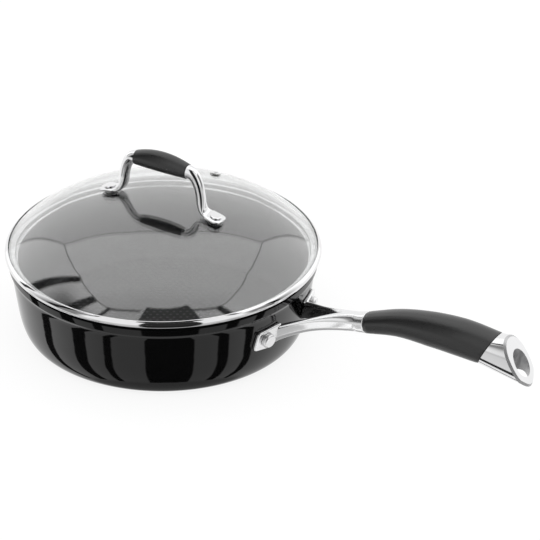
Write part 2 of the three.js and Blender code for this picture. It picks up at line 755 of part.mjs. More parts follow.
for (const frame of Object.values(boltFrames)) {
  const bore = shank(boltHole, padLow - padThickness, headLow + padThickness);
  bow = bow.subtract(solidOf(bore.applyMatrix4(frame)));
}

// Bow grip: flat underneath, arched on top, fattest in the middle
const bowGripSections = [];
for (let i = 0; i <= bowGripSteps; i += 1) {
  const share = (i / bowGripSteps) * 2 - 1;
  const swell = 1 - share * share;
  bowGripSections.push({
    ...barSection(-share * bowGripHalf, 0),
    wide: bowGripEndWide + (bowGripMidWide - bowGripEndWide) * swell,
    tall: bowGripEndTop + (bowGripMidTop - bowGripEndTop) * swell,
    under: bowGripUnder,
    power: gripPower,
  });
}
const bowBore = [bowGripHalf * 2, -bowGripHalf * 2].map((x) => barSection(x, bowCore + fit));
const bowGrip = loft(bowGripSections).subtract(loft(bowBore, smallFacets));

// Steam vent: a steel eyelet through the glass on a soft ring
const eyeletLow = -glassThickness - fit;
const grommetLow = fit;
const flangeLow = grommetLow + ventGrommetRise + fit;
const eyelet = turn(closed([
  at(ventBore, eyeletLow - ventFlangeRise),
  at(ventTube + ventFlangeRise, eyeletLow - ventFlangeRise),
  at(ventTube + ventFlangeRise, eyeletLow),
  at(ventTube, eyeletLow),
  at(ventTube, flangeLow),
  ...headOutline(ventFlange, flangeLow, ventFlangeRise).slice(0, -1),
  at(ventBore, flangeLow + ventFlangeRise),
]), smallFacets);
const grommet = ring(ventTube + shankFit, ventGrommet, grommetLow, grommetLow + ventGrommetRise);

// The assembly
const pan = new THREE.Group();
pan.add(piece('pan_body', panBody, enamel));
pan.add(piece('induction_plate', plate, brushed));
pan.add(piece('handle_bracket', bracket, polished));
pan.add(piece('handle_grip', grip, silicone));
pan.add(piece('handle_end_cap', endCap, polished));
for (const [side, sign] of [['left', 1], ['right', -1]]) {
  const seat = new THREE.Group();
  seat.applyMatrix4(rivetFrame(sign));
  seat.add(piece(`handle_rivet_${side}`, rivet, polished));
  pan.add(seat);
}

const lid = new THREE.Group();
lid.add(piece('lid_glass', glass, clearGlass));
lid.add(piece('lid_rim_band', band, polished));
lid.add(piece('lid_bow_handle', bow, polished));
lid.add(piece('lid_handle_grip', bowGrip, silicone));
for (const [end, frame] of Object.entries(boltFrames)) {
  const boltSeat = new THREE.Group();
  boltSeat.applyMatrix4(frame);
  for (const [name, [solid, look]] of Object.entries(boltSet)) {
    boltSeat.add(piece(`${name}_${end}`, solid, look));
  }
  lid.add(boltSeat);
}
const ventSeat = new THREE.Group();
ventSeat.applyMatrix4(ventFrame);
ventSeat.add(piece('vent_eyelet', eyelet, polished));
ventSeat.add(piece('vent_grommet', grommet, clearSilicone));
lid.add(ventSeat);

const fryingPan = new THREE.Group();
fryingPan.add(pan, lid);

export default fryingPan;
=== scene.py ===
import math

import bmesh
import bpy
from mathutils import Matrix, Vector


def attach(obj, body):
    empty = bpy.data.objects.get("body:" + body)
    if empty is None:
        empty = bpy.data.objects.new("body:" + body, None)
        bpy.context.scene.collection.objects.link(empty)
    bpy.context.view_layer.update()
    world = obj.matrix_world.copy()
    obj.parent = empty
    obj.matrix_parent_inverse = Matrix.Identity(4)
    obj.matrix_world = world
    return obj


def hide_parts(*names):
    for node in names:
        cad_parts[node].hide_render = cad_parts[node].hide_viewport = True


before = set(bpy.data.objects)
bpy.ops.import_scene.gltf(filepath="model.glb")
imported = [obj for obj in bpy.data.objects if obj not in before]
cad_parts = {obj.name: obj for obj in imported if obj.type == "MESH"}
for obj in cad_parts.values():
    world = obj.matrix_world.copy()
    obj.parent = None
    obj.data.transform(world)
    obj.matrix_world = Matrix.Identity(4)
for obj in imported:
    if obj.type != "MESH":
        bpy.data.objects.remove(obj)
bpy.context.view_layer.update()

mm = 0.001             # pieces are sized in millimetres, finishes and studio in metres
clearance = 0.3        # between two pieces that lie on each other
shankRoom = 0.35       # round a rivet or bolt
hardAngle = 38         # in degrees; edges sharper than this stay hard
tiny = 1e-6            # below this a length counts as nothing

print("stage: frame loaded,", len(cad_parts), "nodes")


# shape tools: outlines are lists of 2D points, skins are made from rings of points

def between(first, last, share):
    return first + (last - first) * share


def eased(share):
    return share * share * (3 - 2 * share)


def curvePoints(corners, steps):
    # a Bezier curve through its first and last corner, without the first point
    points = []
    for i in range(1, steps + 1):
        level = [Vector(corner) for corner in corners]
        while len(level) > 1:
            level = [a.lerp(b, i / steps) for a, b in zip(level, level[1:])]
        points.append(level[0])
    return points


def curveHeading(corners, share):
    level = [Vector(corner) for corner in corners]
    while len(level) > 2:
        level = [a.lerp(b, share) for a, b in zip(level, level[1:])]
    return (level[1] - level[0]).normalized()


def straightPoints(start, end, steps):
    return [Vector(start).lerp(Vector(end), i / steps) for i in range(1, steps + 1)]


def softOutline(corners, loop=False, steps=5):
    # corners are (x, y, cut): each corner is cut back and bridged by a curve
    points = []
    last = len(corners) - 1
    for i, (x, y, cut) in enumerate(corners):
        spot = Vector((x, y))
        if cut == 0 or (not loop and i in (0, last)):
            points.append(spot)
            continue
        before = Vector(corners[i - 1][:2])
        after = Vector(corners[i + 1 if i < last else 0][:2])
        start = spot + (before - spot).normalized() * cut
        end = spot + (after - spot).normalized() * cut
        points += [start] + curvePoints((start, spot, end), steps)
    return points


def edgedOutline(spots, edges, loop=False, steps=5):
    return softOutline([(*spot, edge) for spot, edge in zip(spots, edges)], loop, steps)


def turnsOf(around):
    return [2 * math.pi * i / around for i in range(around)]


def smoothed(mesh, sharp):
    mesh.polygons.foreach_set("use_smooth", [True] * len(mesh.polygons))
    mesh.set_sharp_from_angle(angle=math.radians(sharp))
    return mesh


def cleanMesh(name, spots, faces, sharp=hardAngle):
    mesh = bpy.data.meshes.new(name)
    mesh.from_pydata([Vector(spot) * mm for spot in spots], [], faces)
    skin = bmesh.new()
    skin.from_mesh(mesh)
    bmesh.ops.recalc_face_normals(skin, faces=skin.faces)
    skin.to_mesh(mesh)
    skin.free()
    return smoothed(mesh, sharp)


def turnedMesh(name, outline, around, loop=False, sharp=hardAngle):
    # an outline of (radius, height) turned about the upright axis
    spots, rows, faces = [], [], []
    for radius, height in outline:
        if radius < tiny:
            rows.append([len(spots)] * around)
            spots.append((0, 0, height))
            continue
        rows.append(list(range(len(spots), len(spots) + around)))
        spots += [(radius * math.cos(angle), radius * math.sin(angle), height) for angle in turnsOf(around)]
    for low, high in zip(rows, rows[1:] + rows[:1] if loop else rows[1:]):
        for i in range(around):
            j = (i + 1) % around
            corners = list(dict.fromkeys((low[i], low[j], high[j], high[i])))
            if len(corners) > 2:
                faces.append(corners)
    return cleanMesh(name, spots, faces, sharp)


def sectionRing(section, around):
    # a rounded section: power 2 is an ellipse, pinch narrows it below the crease
    bend = 2 / section.get("power", 2)
    crease = section.get("crease", 0.3)
    ring = []
    for angle in turnsOf(around):
        across = math.copysign(abs(math.sin(angle)) ** bend, math.sin(angle))
        upward = math.copysign(abs(math.cos(angle)) ** bend, math.cos(angle))
        below = max(0, -upward - crease) / (1 - crease)
        width = section["wide"] * (1 - section.get("pinch", 0) * below)
        height = section["tall"] if upward > 0 else section.get("under", section["tall"])
        ring.append(section["middle"] + section["side"] * across * width + section["up"] * upward * height)
    return ring


def crossSection(middle, axis, wide, tall, **more):
    # across a bar that runs in the upright plane of both handles
    side = Vector((0, -1, 0))
    return {"middle": middle, "axis": axis, "side": side, "up": side.cross(axis), "wide": wide, "tall": tall, **more}


def ringMesh(name, rings, loop=False):
    # a skin over rings of the same count, closed by end faces or into a loop
    around = len(rings[0])
    spots = [spot for ring in rings for spot in ring]
    faces = []
    for k in range(len(rings) if loop else len(rings) - 1):
        low, high = k * around, (k + 1) % len(rings) * around
        for i in range(around):
            j = (i + 1) % around
            faces.append((low + i, low + j, high + j, high + i))
    if not loop:
        faces.append(list(range(around)))
        faces.append(list(range((len(rings) - 1) * around, len(rings) * around)))
    return cleanMesh(name, spots, faces)


def loftedMesh(name, sections, around, loop=False):
    return ringMesh(name, [sectionRing(section, around) for section in sections], loop)


def ovalRing(place, long, wide, height, around, widen=1):
    spots = [Vector((long * math.cos(angle), wide * math.sin(angle))) * widen for angle in turnsOf(around)]
    return [place @ Vector((*spot, height)) for spot in spots]


def joinedMesh(name, meshes):
    skin = bmesh.new()
    for mesh in meshes:
        skin.from_mesh(mesh)
        bpy.data.meshes.remove(mesh)
    whole = bpy.data.meshes.new(name)
    skin.to_mesh(whole)
    skin.free()
    return whole


def placed(frameMatrix):
    # a frame in millimetres as a placing in metres
    matrix = frameMatrix.copy()
    matrix.translation *= mm
    return matrix


def appliedMesh(blank, sharp):
    # the piece's modifiers as plain mesh
    bpy.context.view_layer.update()
    ready = blank.evaluated_get(bpy.context.evaluated_depsgraph_get())
    result = bpy.data.meshes.new_from_object(ready)
    used = blank.data
    result.name = used.name
    bpy.data.objects.remove(blank)
    bpy.data.meshes.remove(used)
    return smoothed(result, sharp)


def linked(name, data):
    item = bpy.data.objects.new(name, data)
    bpy.context.scene.collection.objects.link(item)
    return item


def cutMesh(mesh, cutters, sharp=hardAngle):
    # the cutters stay, so that several shells can be cut by the same ones
    blank = linked("blank", mesh)
    tools = [linked("cutter", cutter) for cutter in cutters]
    for tool in tools:
        cut = blank.modifiers.new("cut", "BOOLEAN")
        cut.operation = "DIFFERENCE"
        cut.solver = "EXACT"
        cut.object = tool
    result = appliedMesh(blank, sharp)
    for tool in tools:
        bpy.data.objects.remove(tool)
    return result


def fusedMesh(mesh, voxel, rounds, sharp):
    # overlapping shells become one skin with eased edges
    blank = linked("blank", mesh)
    fuse = blank.modifiers.new("fuse", "REMESH")
    fuse.mode = "VOXEL"
    fuse.voxel_size = voxel * mm
    ease = blank.modifiers.new("ease", "SMOOTH")
    ease.factor = 0.5
    ease.iterations = rounds
    return appliedMesh(blank, sharp)


def addPiece(name, mesh, finishes, body, nodes, place=None):
    piece = linked(name, mesh)
    for finish in finishes:
        mesh.materials.append(finish)
    if place is not None:
        piece.matrix_world = placed(place)
    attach(piece, body)
    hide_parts(*nodes)


# finish tools

def emptyTree(owner):
    owner.use_nodes = True
    owner.node_tree.nodes.clear()
    return owner.node_tree


def addNode(tree, kind, inputs=None, **settings):
    node = tree.nodes.new("ShaderNode" + kind)
    for label, value in settings.items():
        setattr(node, label, value)
    for label, value in (inputs or {}).items():
        if isinstance(value, bpy.types.NodeSocket):
            tree.links.new(value, node.inputs[label])
        else:
            node.inputs[label].default_value = value
    return node


def spotsOf(tree, stretch=(1, 1, 1)):
    # places on the piece itself, in metres, stretched for grain that has a direction
    places = addNode(tree, "TexCoord")
    mapping = addNode(tree, "Mapping", {"Vector": places.outputs["Object"], "Scale": stretch})
    return mapping.outputs["Vector"]


def axesOf(tree, vector):
    return addNode(tree, "SeparateXYZ", {"Vector": vector}).outputs


def grainOf(tree, scale, detail=3, stretch=(1, 1, 1)):
    return addNode(tree, "TexNoise", {
        "Vector": spotsOf(tree, stretch), "Scale": scale, "Detail": detail, "Roughness": 0.55,
    }).outputs["Fac"]


def rangeOf(tree, value, low, high, fromLow=0.3, fromHigh=0.7, soft=False):
    # grain lies mostly between 0.3 and 0.7
    inputs = {"Value": value, "From Min": fromLow, "From Max": fromHigh, "To Min": low, "To Max": high}
    kind = "SMOOTHSTEP" if soft else "LINEAR"
    return addNode(tree, "MapRange", inputs, interpolation_type=kind).outputs["Result"]


def mathOf(tree, kind, *values):
    return addNode(tree, "Math", dict(enumerate(values)), operation=kind).outputs[0]


def tintOf(tree, share, dark, pale):
    # each tone is a colour or the output of another node
    tones = [tone if isinstance(tone, bpy.types.NodeSocket) else (*tone, 1) for tone in (dark, pale)]
    return addNode(tree, "Mix", {0: share, 6: tones[0], 7: tones[1]}, data_type="RGBA").outputs[2]


def raiseBy(tree, shader, value, depth, under=None):
    bump = addNode(tree, "Bump", {"Height": value, "Distance": depth, "Strength": 1.0})
    if under is not None:
        tree.links.new(under, bump.inputs["Normal"])
    tree.links.new(bump.outputs["Normal"], shader.inputs["Normal"])
    return bump.outputs["Normal"]


def addGrain(tree, shader, grain, under=None):
    value = grainOf(tree, grain["scale"], grain["detail"], grain.get("stretch", (1, 1, 1)))
    return raiseBy(tree, shader, value, grain["depth"], under)


def newFinish(name, look):
    # grain in the roughness and, where the look has them, in the colour and the surface
    finish = bpy.data.materials.new(name)
    finish.use_nodes = True
    tree = finish.node_tree
    shader = tree.nodes["Principled BSDF"]
    for label, value in look["sockets"].items():
        shader.inputs[label].default_value = value
    if "paleColour" in look:
        tint = tintOf(tree, grainOf(tree, look["tintScale"]), look["colour"], look["paleColour"])
        tree.links.new(tint, shader.inputs["Base Color"])
    patches = grainOf(tree, look["roughScale"], look.get("roughDetail", 3))
    tree.links.new(rangeOf(tree, patches, *look["rough"]), shader.inputs["Roughness"])
    if "grain" in look:
        addGrain(tree, shader, look["grain"])
    return finish


def nodesOf(finish):
    return finish.node_tree, finish.node_tree.nodes["Principled BSDF"]


# gloss enamel on the outside of the pan, its gloss taken off in a thin band at the rim where the lid rests: a painted
# shadow line under the lid's band
enamelLook = {
    "sockets": {"IOR": 1.5}, "colour": (0.002, 0.002, 0.0021), "paleColour": (0.003, 0.003, 0.0031), "tintScale": 60,
    "rough": (0.03, 0.06), "roughScale": 240, "waves": {"scale": 90, "detail": 1, "depth": 0.00004},
    "rings": {"scale": 420, "detail": 1, "stretch": (0.05, 0.05, 1), "depth": 0.000006},
    "gloss": 0.5, "ground": (0.0653, 0.0656),
}


def makeEnamel(look):
    finish = newFinish("blackEnamel", look)
    tree, shader = nodesOf(finish)
    height = axesOf(tree, spotsOf(tree))["Z"]
    # above the shadow-line span the gloss falls to nothing, so the rim shows a painted shadow line under the lid's
    # band
    gloss = rangeOf(tree, height, look["gloss"], 0.0, *look["ground"], True)
    tree.links.new(gloss, shader.inputs["Specular IOR Level"])
    addGrain(tree, shader, look["rings"], addGrain(tree, shader, look["waves"]))
    return finish


# dark coating inside, with shallow round dimples over the floor; the wall is painted lighter than the floor, painted
# light for the dim inside of the pan
coatingLook = {
    "sockets": {"IOR": 1.45}, "colour": (0.038, 0.038, 0.0385), "paleColour": (0.044, 0.044, 0.0445), "tintScale": 60,
    "dimpleColour": (0.105, 0.105, 0.106), "paintedLightWallColour": (0.07, 0.07, 0.071), "rough": (0.4, 0.46), "roughScale": 90,
    "turn": math.radians(-32.5), "pitch": 0.0053, "dimple": 0.0015, "dimpleFlat": 0.45, "dimpleDepth": 0.00004,
    "floorTop": 0.0054, "floorFade": 0.0006,
}


def dimplesOf(tree, look):
    # distance to the nearest point of two crossed grids, which make a staggered one
    turn = {"Vector": spotsOf(tree), "Angle": look["turn"]}
    places = axesOf(tree, addNode(tree, "VectorRotate", turn, rotation_type="Z_AXIS").outputs["Vector"])
    pitches = {"X": look["pitch"], "Y": look["pitch"] * math.sqrt(3)}
    nearest = None
    for shift in (0, 0.5):
        square = 0
        for axis, pitch in pitches.items():
            miss = mathOf(tree, "WRAP", places[axis], pitch * (0.5 + shift), pitch * (shift - 0.5))
            miss = mathOf(tree, "SUBTRACT", miss, pitch * shift)
            square = mathOf(tree, "MULTIPLY_ADD", miss, miss, square)
        nearest = square if nearest is None else mathOf(tree, "MINIMUM", nearest, square)
    reach = mathOf(tree, "SQRT", nearest)
    hollow = rangeOf(tree, reach, 1, 0, look["dimple"] * look["dimpleFlat"], look["dimple"], True)
    onFloor = rangeOf(tree, places["Z"], 1, 0, look["floorTop"], look["floorTop"] + look["floorFade"])
    return mathOf(tree, "MULTIPLY", hollow, onFloor), onFloor


def makeCoating(look):
    finish = newFinish("darkCoating", look)
    tree, shader = nodesOf(finish)
    dimples, onFloor = dimplesOf(tree, look)
    base = shader.inputs["Base Color"].links[0].from_socket
    # painted light: the wall gets a lighter copy of the coating's colour than the floor
    base = tintOf(tree, onFloor, look["paintedLightWallColour"], base)
    base = tintOf(tree, dimples, base, look["dimpleColour"])
    tree.links.new(base, shader.inputs["Base Color"])
    raiseBy(tree, shader, mathOf(tree, "MULTIPLY", dimples, -1), look["dimpleDepth"])
    return finish


# steel: polished, satin on the bracket, dull on rivets and spacers, duller in the cap's hole, black on the nuts
steelLook = {
    "sockets": {"Metallic": 1.0}, "colour": (0.80, 0.80, 0.805), "paleColour": (0.88, 0.88, 0.885), "tintScale": 70,
    "rough": (0.05, 0.08), "roughScale": 160, "roughDetail": 4,
    "grain": {"scale": 900, "detail": 2, "stretch": (1, 1, 0.2), "depth": 0.000002},
}
satinLook = {**steelLook, "rough": (0.15, 0.2)}
dullLook = {**steelLook, "rough": (0.3, 0.38)}
boreLook = {**steelLook, "colour": (0.5, 0.5, 0.505), "paleColour": (0.58, 0.58, 0.585), "rough": (0.38, 0.46)}
blackLook = {**boreLook, "colour": (0.018, 0.018, 0.0185), "paleColour": (0.028, 0.028, 0.0285)}

# turned steel of the disc under the base
discLook = {
    "sockets": {"Metallic": 1.0}, "colour": (0.50, 0.50, 0.505), "paleColour": (0.66, 0.66, 0.665), "tintScale": 120,
    "rough": (0.26, 0.42), "roughScale": 200, "ringPitch": 0.0009, "ringDepth": 0.00004,
}


def makeDisc(look):
    finish = newFinish("turnedSteel", look)
    tree, shader = nodesOf(finish)
    places = axesOf(tree, spotsOf(tree))
    square = mathOf(tree, "MULTIPLY", places["X"], places["X"])
    radius = mathOf(tree, "SQRT", mathOf(tree, "MULTIPLY_ADD", places["Y"], places["Y"], square))
    rings = mathOf(tree, "PINGPONG", radius, look["ringPitch"])
    raiseBy(tree, shader, mathOf(tree, "DIVIDE", rings, look["ringPitch"]), look["ringDepth"])
    return finish


# soft-touch black of the two grips and the dark washers
gripLook = {
    "sockets": {"IOR": 1.5, "Specular IOR Level": 0.78, "Sheen Weight": 0.15, "Sheen Roughness": 0.4},
    "colour": (0.003, 0.003, 0.0031), "paleColour": (0.0045, 0.0045, 0.0046), "tintScale": 140,
    "rough": (0.27, 0.33), "roughScale": 380, "grain": {"scale": 1400, "detail": 2, "depth": 0.00001},
}

# clear glass of the lid
glassLook = {
    "sockets": {"Base Color": (0.965, 0.972, 0.97, 1), "IOR": 1.52, "Transmission Weight": 1.0,
                "Specular IOR Level": 0.85, "Coat Weight": 1.0, "Coat Roughness": 0.0, "Coat IOR": 1.75},
    "rough": (0.0, 0.002), "roughScale": 45, "grain": {"scale": 14, "detail": 0, "depth": 0.00001},
}

# milky soft ring of the vent
milkyLook = {
    "sockets": {"IOR": 1.41, "Transmission Weight": 0.55}, "colour": (0.62, 0.62, 0.60),
    "paleColour": (0.74, 0.74, 0.72), "tintScale": 300, "rough": (0.3, 0.45), "roughScale": 500,
    "grain": {"scale": 1800, "detail": 2, "depth": 0.00002},
}

enamel = makeEnamel(enamelLook)
coating = makeCoating(coatingLook)
steel = newFinish("polishedSteel", steelLook)
satinSteel = newFinish("satinSteel", satinLook)
dullSteel = newFinish("dullSteel", dullLook)
boreSteel = newFinish("boredSteel", boreLook)
blackSteel = newFinish("blackenedSteel", blackLook)
turnedSteel = makeDisc(discLook)
softGrip = newFinish("softGrip", gripLook)
darkSilicone = newFinish("darkSilicone", gripLook)
glassFinish = newFinish("lidGlass", glassLook)
milky = newFinish("clearSilicone", milkyLook)
print("stage: finishes made")


# pan body: drafted wall, full knee, stepped lip band with a cove, rounded rim, blended floor
pan = {
    "height": 68.1, "lipRadius": 122.3, "lipHeight": 7.6, "lipStep": 1.9, "lipEdge": 0.5, "coveHeight": 3,
    "coveSweep": 0.2, "wall": 3.3, "draft": math.radians(8.4), "kneeHeight": 28, "kneeRun": 19, "kneeFull": 0.83,
    "kneeFlat": 0.6, "floor": 5, "floorBlend": 15, "floorFlat": 0.6, "coatSlack": 0.01,
    "discInset": 11, "discThick": 2.2, "discEdge": 0.6, "discTopEdge": 0.2, "bedRow": 0.8, "bedEdge": 0.3,
    "kneeSteps": 28, "wallSteps": 10, "rimSteps": 16, "innerKneeSteps": 24, "floorSteps": 12, "around": 192,
}
lipFoot = pan["height"] - pan["lipHeight"]
wallTop = lipFoot - pan["coveHeight"]
wallTopRadius = pan["lipRadius"] - pan["lipStep"]


def wallRadiusAt(height):
    return wallTopRadius - (wallTop - height) * math.tan(pan["draft"])


kneeRadius = wallRadiusAt(pan["kneeHeight"])
footRadius = kneeRadius - pan["kneeRun"]
discRadius = footRadius - pan["discInset"]
rimInner = pan["lipRadius"] - pan["wall"]


def outerWall(grow):
    # from the edge of the base to the foot of the lip band
    pull = pan["kneeHeight"] * pan["kneeFull"]
    start = Vector((footRadius + grow, -grow))
    knee = Vector((kneeRadius + grow, pan["kneeHeight"]))
    top = Vector((wallTopRadius + grow, wallTop))
    lip = Vector((pan["lipRadius"] + grow, lipFoot))
    flat = (footRadius + pan["kneeRun"] * pan["kneeFlat"] + grow, -grow)
    full = (kneeRadius - pull * math.sin(pan["draft"]) + grow, pan["kneeHeight"] - pull)
    cove = (wallTopRadius + pan["lipStep"] * pan["coveSweep"] + grow, lipFoot - pan["lipStep"])
    points = [start] + curvePoints((start, flat, full, knee), pan["kneeSteps"])
    points += straightPoints(knee, top, pan["wallSteps"])
    return points + curvePoints((top, cove, lip), pan["wallSteps"])


def makePanBody():
    bed = pan["discThick"] + clearance
    bore = discRadius + clearance
    chamfer = pan["bedEdge"]
    under = [(0, bed), (bore - pan["bedRow"], bed), (bore, bed), (bore, chamfer), (bore + chamfer, 0)]
    outer = outerWall(0)
    lip = Vector((pan["lipRadius"], lipFoot))
    outer[-1:] = softOutline([(*outer[-2], 0), (*lip, pan["lipEdge"]), (lip.x, pan["height"], 0)])[1:-1]
    rimRound = pan["wall"] / 2
    rimMiddle = Vector((pan["lipRadius"] - rimRound, pan["height"] - rimRound))
    turns = [math.pi * i / pan["rimSteps"] for i in range(pan["rimSteps"] + 1)]
    rim = [rimMiddle + Vector((math.cos(turn), math.sin(turn))) * rimRound for turn in turns]
    innerKnee = Vector((kneeRadius - pan["wall"], pan["kneeHeight"]))
    floorEdge = Vector((innerKnee.x - pan["floorBlend"], pan["floor"]))
    pull = (pan["kneeHeight"] - pan["floor"]) * pan["kneeFull"]
    full = (innerKnee.x - pull * math.sin(pan["draft"]), pan["kneeHeight"] - pull)
    flat = (innerKnee.x - pan["floorBlend"] * pan["floorFlat"], pan["floor"])
    inner = straightPoints(rim[-1], innerKnee, pan["wallSteps"])
    inner += curvePoints((innerKnee, full, flat, floorEdge), pan["innerKneeSteps"])
    inner += straightPoints(floorEdge, (0, pan["floor"]), pan["floorSteps"])
    mesh = turnedMesh("panBody", under + outer + rim + inner, pan["around"])
    addPiece("panBody", mesh, [enamel, coating], "pan", ["pan_body"])
    coatEdge = rim[pan["rimSteps"] * 3 // 4]
    for face in mesh.polygons:   # the coating starts on the inner side of the rim
        reach = face.center.xy.length / mm
        isWithin = reach < coatEdge.x and face.center.z / mm > pan["floor"] - pan["coatSlack"]
        facesIn = face.normal.xy.dot(face.center.xy) <= tiny
        face.material_index = int(isWithin and (facesIn or reach < floorEdge.x))


makePanBody()

discOutline = softOutline([
    (0, 0, 0), (discRadius, 0, pan["discEdge"]), (discRadius, pan["discThick"], pan["discTopEdge"]),
    (0, pan["discThick"], 0)])
basePlate = turnedMesh("baseDisc", discOutline, pan["around"])
addPiece("baseDisc", basePlate, [turnedSteel], "pan", ["induction_plate"])
print("stage: pan body and base disc")


# long handle: a row is reach from the wall, rise above the rivets, tilt in degrees, half width and half height
handle = {
    "rivetAngle": math.radians(16), "rivetHeight": 38.8,
    "throat": (41, 13.6, 8, 4.4, 4.8), "neck": (51, 15.2, 12, 6.4, 7.4),
    "grip": [(69.3, 19.8, 6, 8.5, 8.5), (97.8, 27.8, 4, 10.4, 10.8), (126.8, 30.7, 0, 12.3, 13.7),
             (151.8, 31.2, -8, 13.2, 15), (176.8, 29.3, -27.5, 13.2, 15.3)],
    "face": (203.2, 26.1, 30.7, 13.9, 21.5), "power": 2.25, "capPinch": 0.3, "capCrease": 0.62,
    "coreWide": 4.6, "coreTall": 5, "coreInCap": 0.3, "gripStep": 0.02, "around": 56, "rowSteps": 9,
}
seatRadius = wallRadiusAt(handle["rivetHeight"])
capLength = handle["face"][0] - handle["grip"][-1][0]


def rowBetween(rows, place):
    # a smooth curve through the rows, evened out by their distances
    spot = min(int(place), len(rows) - 2)
    share = place - spot
    result = []
    for first, last in ((0, 3), (3, 5)):   # a row's place, then its size
        line = [Vector(row[first:last]) for row in rows]
        line = [line[0] * 2 - line[1]] + line + [line[-1] * 2 - line[-2]]
        before, start, end, after = line[spot:spot + 4]
        gap = [max((b - a).length_squared ** 0.25, tiny) for a, b in ((before, start), (start, end), (end, after))]
        leave = ((start - before) / gap[0] - (end - before) / (gap[0] + gap[1]) + (end - start) / gap[1]) * gap[1]
        meet = ((end - start) / gap[1] - (after - start) / (gap[1] + gap[2]) + (after - end) / gap[2]) * gap[1]
        bend = start * -3 + end * 3 - leave * 2 - meet
        twist = start * 2 - end * 2 + leave + meet
        result += list(start + leave * share + bend * share ** 2 + twist * share ** 3)
    return result


def easedRows(rows, steps):
    return [rowBetween(rows, i / steps) for i in range((len(rows) - 1) * steps + 1)]


def handleSection(row, wide=None, tall=None, pinch=0):
    tilt = math.radians(row[2])
    middle = Vector((seatRadius + row[0], 0, handle["rivetHeight"] + row[1]))
    axis = Vector((math.cos(tilt), 0, math.sin(tilt)))
    return crossSection(middle, axis, wide or row[3], tall or row[4], power=handle["power"], pinch=pinch)


def movedSection(section, distance, inset=0):
    return {**section, "middle": section["middle"] + section["axis"] * distance,
            "wide": section["wide"] - inset, "tall": section["tall"] - inset}


gripRows = easedRows(handle["grip"], handle["rowSteps"])


def coreSections(grow, first, capShare):
    size = (handle["coreWide"] + grow, handle["coreTall"] + grow)
    rows = [handleSection(row, *size) for row in gripRows]
    return [movedSection(rows[0], first)] + rows[1:] + [movedSection(rows[-1], capLength * capShare)]


def rivetFrame(sign):
    angle = sign * handle["rivetAngle"]
    outward = Vector((math.cos(angle), math.sin(angle), -math.tan(pan["draft"]))).normalized()
    along = Vector((math.sin(angle), -math.cos(angle), 0)) * sign
    upWall = outward.cross(along)
    upWall *= math.copysign(1, upWall.z)
    place = Matrix((along, upWall, outward)).transposed().to_4x4()
    place.translation = (seatRadius * math.cos(angle), seatRadius * math.sin(angle), handle["rivetHeight"])
    return place


# forked bracket: two leaf feet, two creased arms, one neck and the core inside the grip
fork = {
    "footThick": 2.9, "footCorners": [(15.5, 9.6), (-9.6, 8.4), (-13, -7.2), (5.4, -10)], "footCut": 3.4,
    "footEdge": 0.9, "footSteps": 6, "armRoot": (3.4, 8), "armWaist": (2.8, 5.9), "armTip": (5.5, 6), "armSink": 5,
    "armLead": math.radians(2.7), "armDrop": 4.9, "armLeave": (13.4, 9.8, 10.6), "armMeetRun": 16.4, "armPower": 3,
    "armRoll": math.radians(15), "crease": 0.3, "creasePinch": 0.4, "meetPlace": 1.6, "growFrom": 0.4, "growTo": 0.9,
    "webShare": 0.72, "neckEdge": 0.5, "neckInset": 0.2, "stations": 40, "around": 64,
    "voxel": 0.35, "easeRounds": 16, "rounds": 4, "sharp": 60,
}
neckLine = [handle["throat"], handle["neck"], handle["grip"][0]]


def footPlate(sign):
    outline = softOutline([(*corner, fork["footCut"]) for corner in fork["footCorners"]], True, fork["footSteps"])
    count = len(outline)
    edge, thick = fork["footEdge"], fork["footThick"]
    inward = []
    for i in range(count):
        along = (outline[(i + 1) % count] - outline[i - 1]).normalized()
        inward.append(Vector((-along.y, along.x)))
    levels = [(edge, -thick), (0, edge - thick)]
    for i in range(fork["footSteps"] + 1):
        turn = math.pi * i / (fork["footSteps"] * 2)
        levels.append((edge * (1 - math.cos(turn)), thick - edge + edge * math.sin(turn)))
    place = rivetFrame(sign)
    rings = []
    for inset, height in levels:
        ring = [spot + side * inset for spot, side in zip(outline, inward)]
        rings.append([place @ Vector((spot.x, spot.y, height)) for spot in ring])
    return ringMesh("foot", rings)


def throughMiddle(start, middle, end, share):
    # a quadratic that has the middle value half way along
    pull = middle * 2 - (start + end) / 2
    return start * (1 - share) ** 2 + pull * 2 * share * (1 - share) + end * share ** 2


def forkArm(sign):
    angle = sign * (handle["rivetAngle"] - fork["armLead"])
    rootReach = seatRadius - fork["armSink"]
    rootHeight = handle["rivetHeight"] - fork["armDrop"]
    root = Vector((rootReach * math.cos(angle), rootReach * math.sin(angle), rootHeight))
    outward, inward, upward = fork["armLeave"]
    leave = root + Vector((outward, -sign * inward, upward))
    meetRow = rowBetween(neckLine, fork["meetPlace"])
    meet = handleSection(meetRow)
    approach = meet["middle"] - meet["axis"] * fork["armMeetRun"]   # along the neck
    spine = [root, leave, approach, meet["middle"]]
    spots = [root] + curvePoints(spine, fork["stations"])
    sizes = list(zip(fork["armRoot"], fork["armWaist"], fork["armTip"]))
    sections = []
    for i, spot in enumerate(spots):
        share = i / fork["stations"]
        axis = curveHeading(spine, share)
        side = axis.cross(Vector((0, 0, 1))).normalized()
        grow = min(max((share - fork["growFrom"]) / (fork["growTo"] - fork["growFrom"]), 0), 1)
        grow = eased(grow)   # both arms end as the whole neck, so they run into it without a step
        roll = Matrix.Rotation(sign * fork["armRoll"] * (grow - 1), 3, axis)
        wide, tall = [
            throughMiddle(*size, share) + (whole - size[2]) * grow for size, whole in zip(sizes, meetRow[3:])]
        sections.append({
            "middle": spot, "side": roll @ side, "up": roll @ side.cross(axis), "wide": wide, "tall": tall,
            "power": between(fork["armPower"], handle["power"], grow),
            "crease": fork["crease"], "pinch": fork["creasePinch"] * (1 - share),
        })
    return loftedMesh("arm", sections, fork["around"])


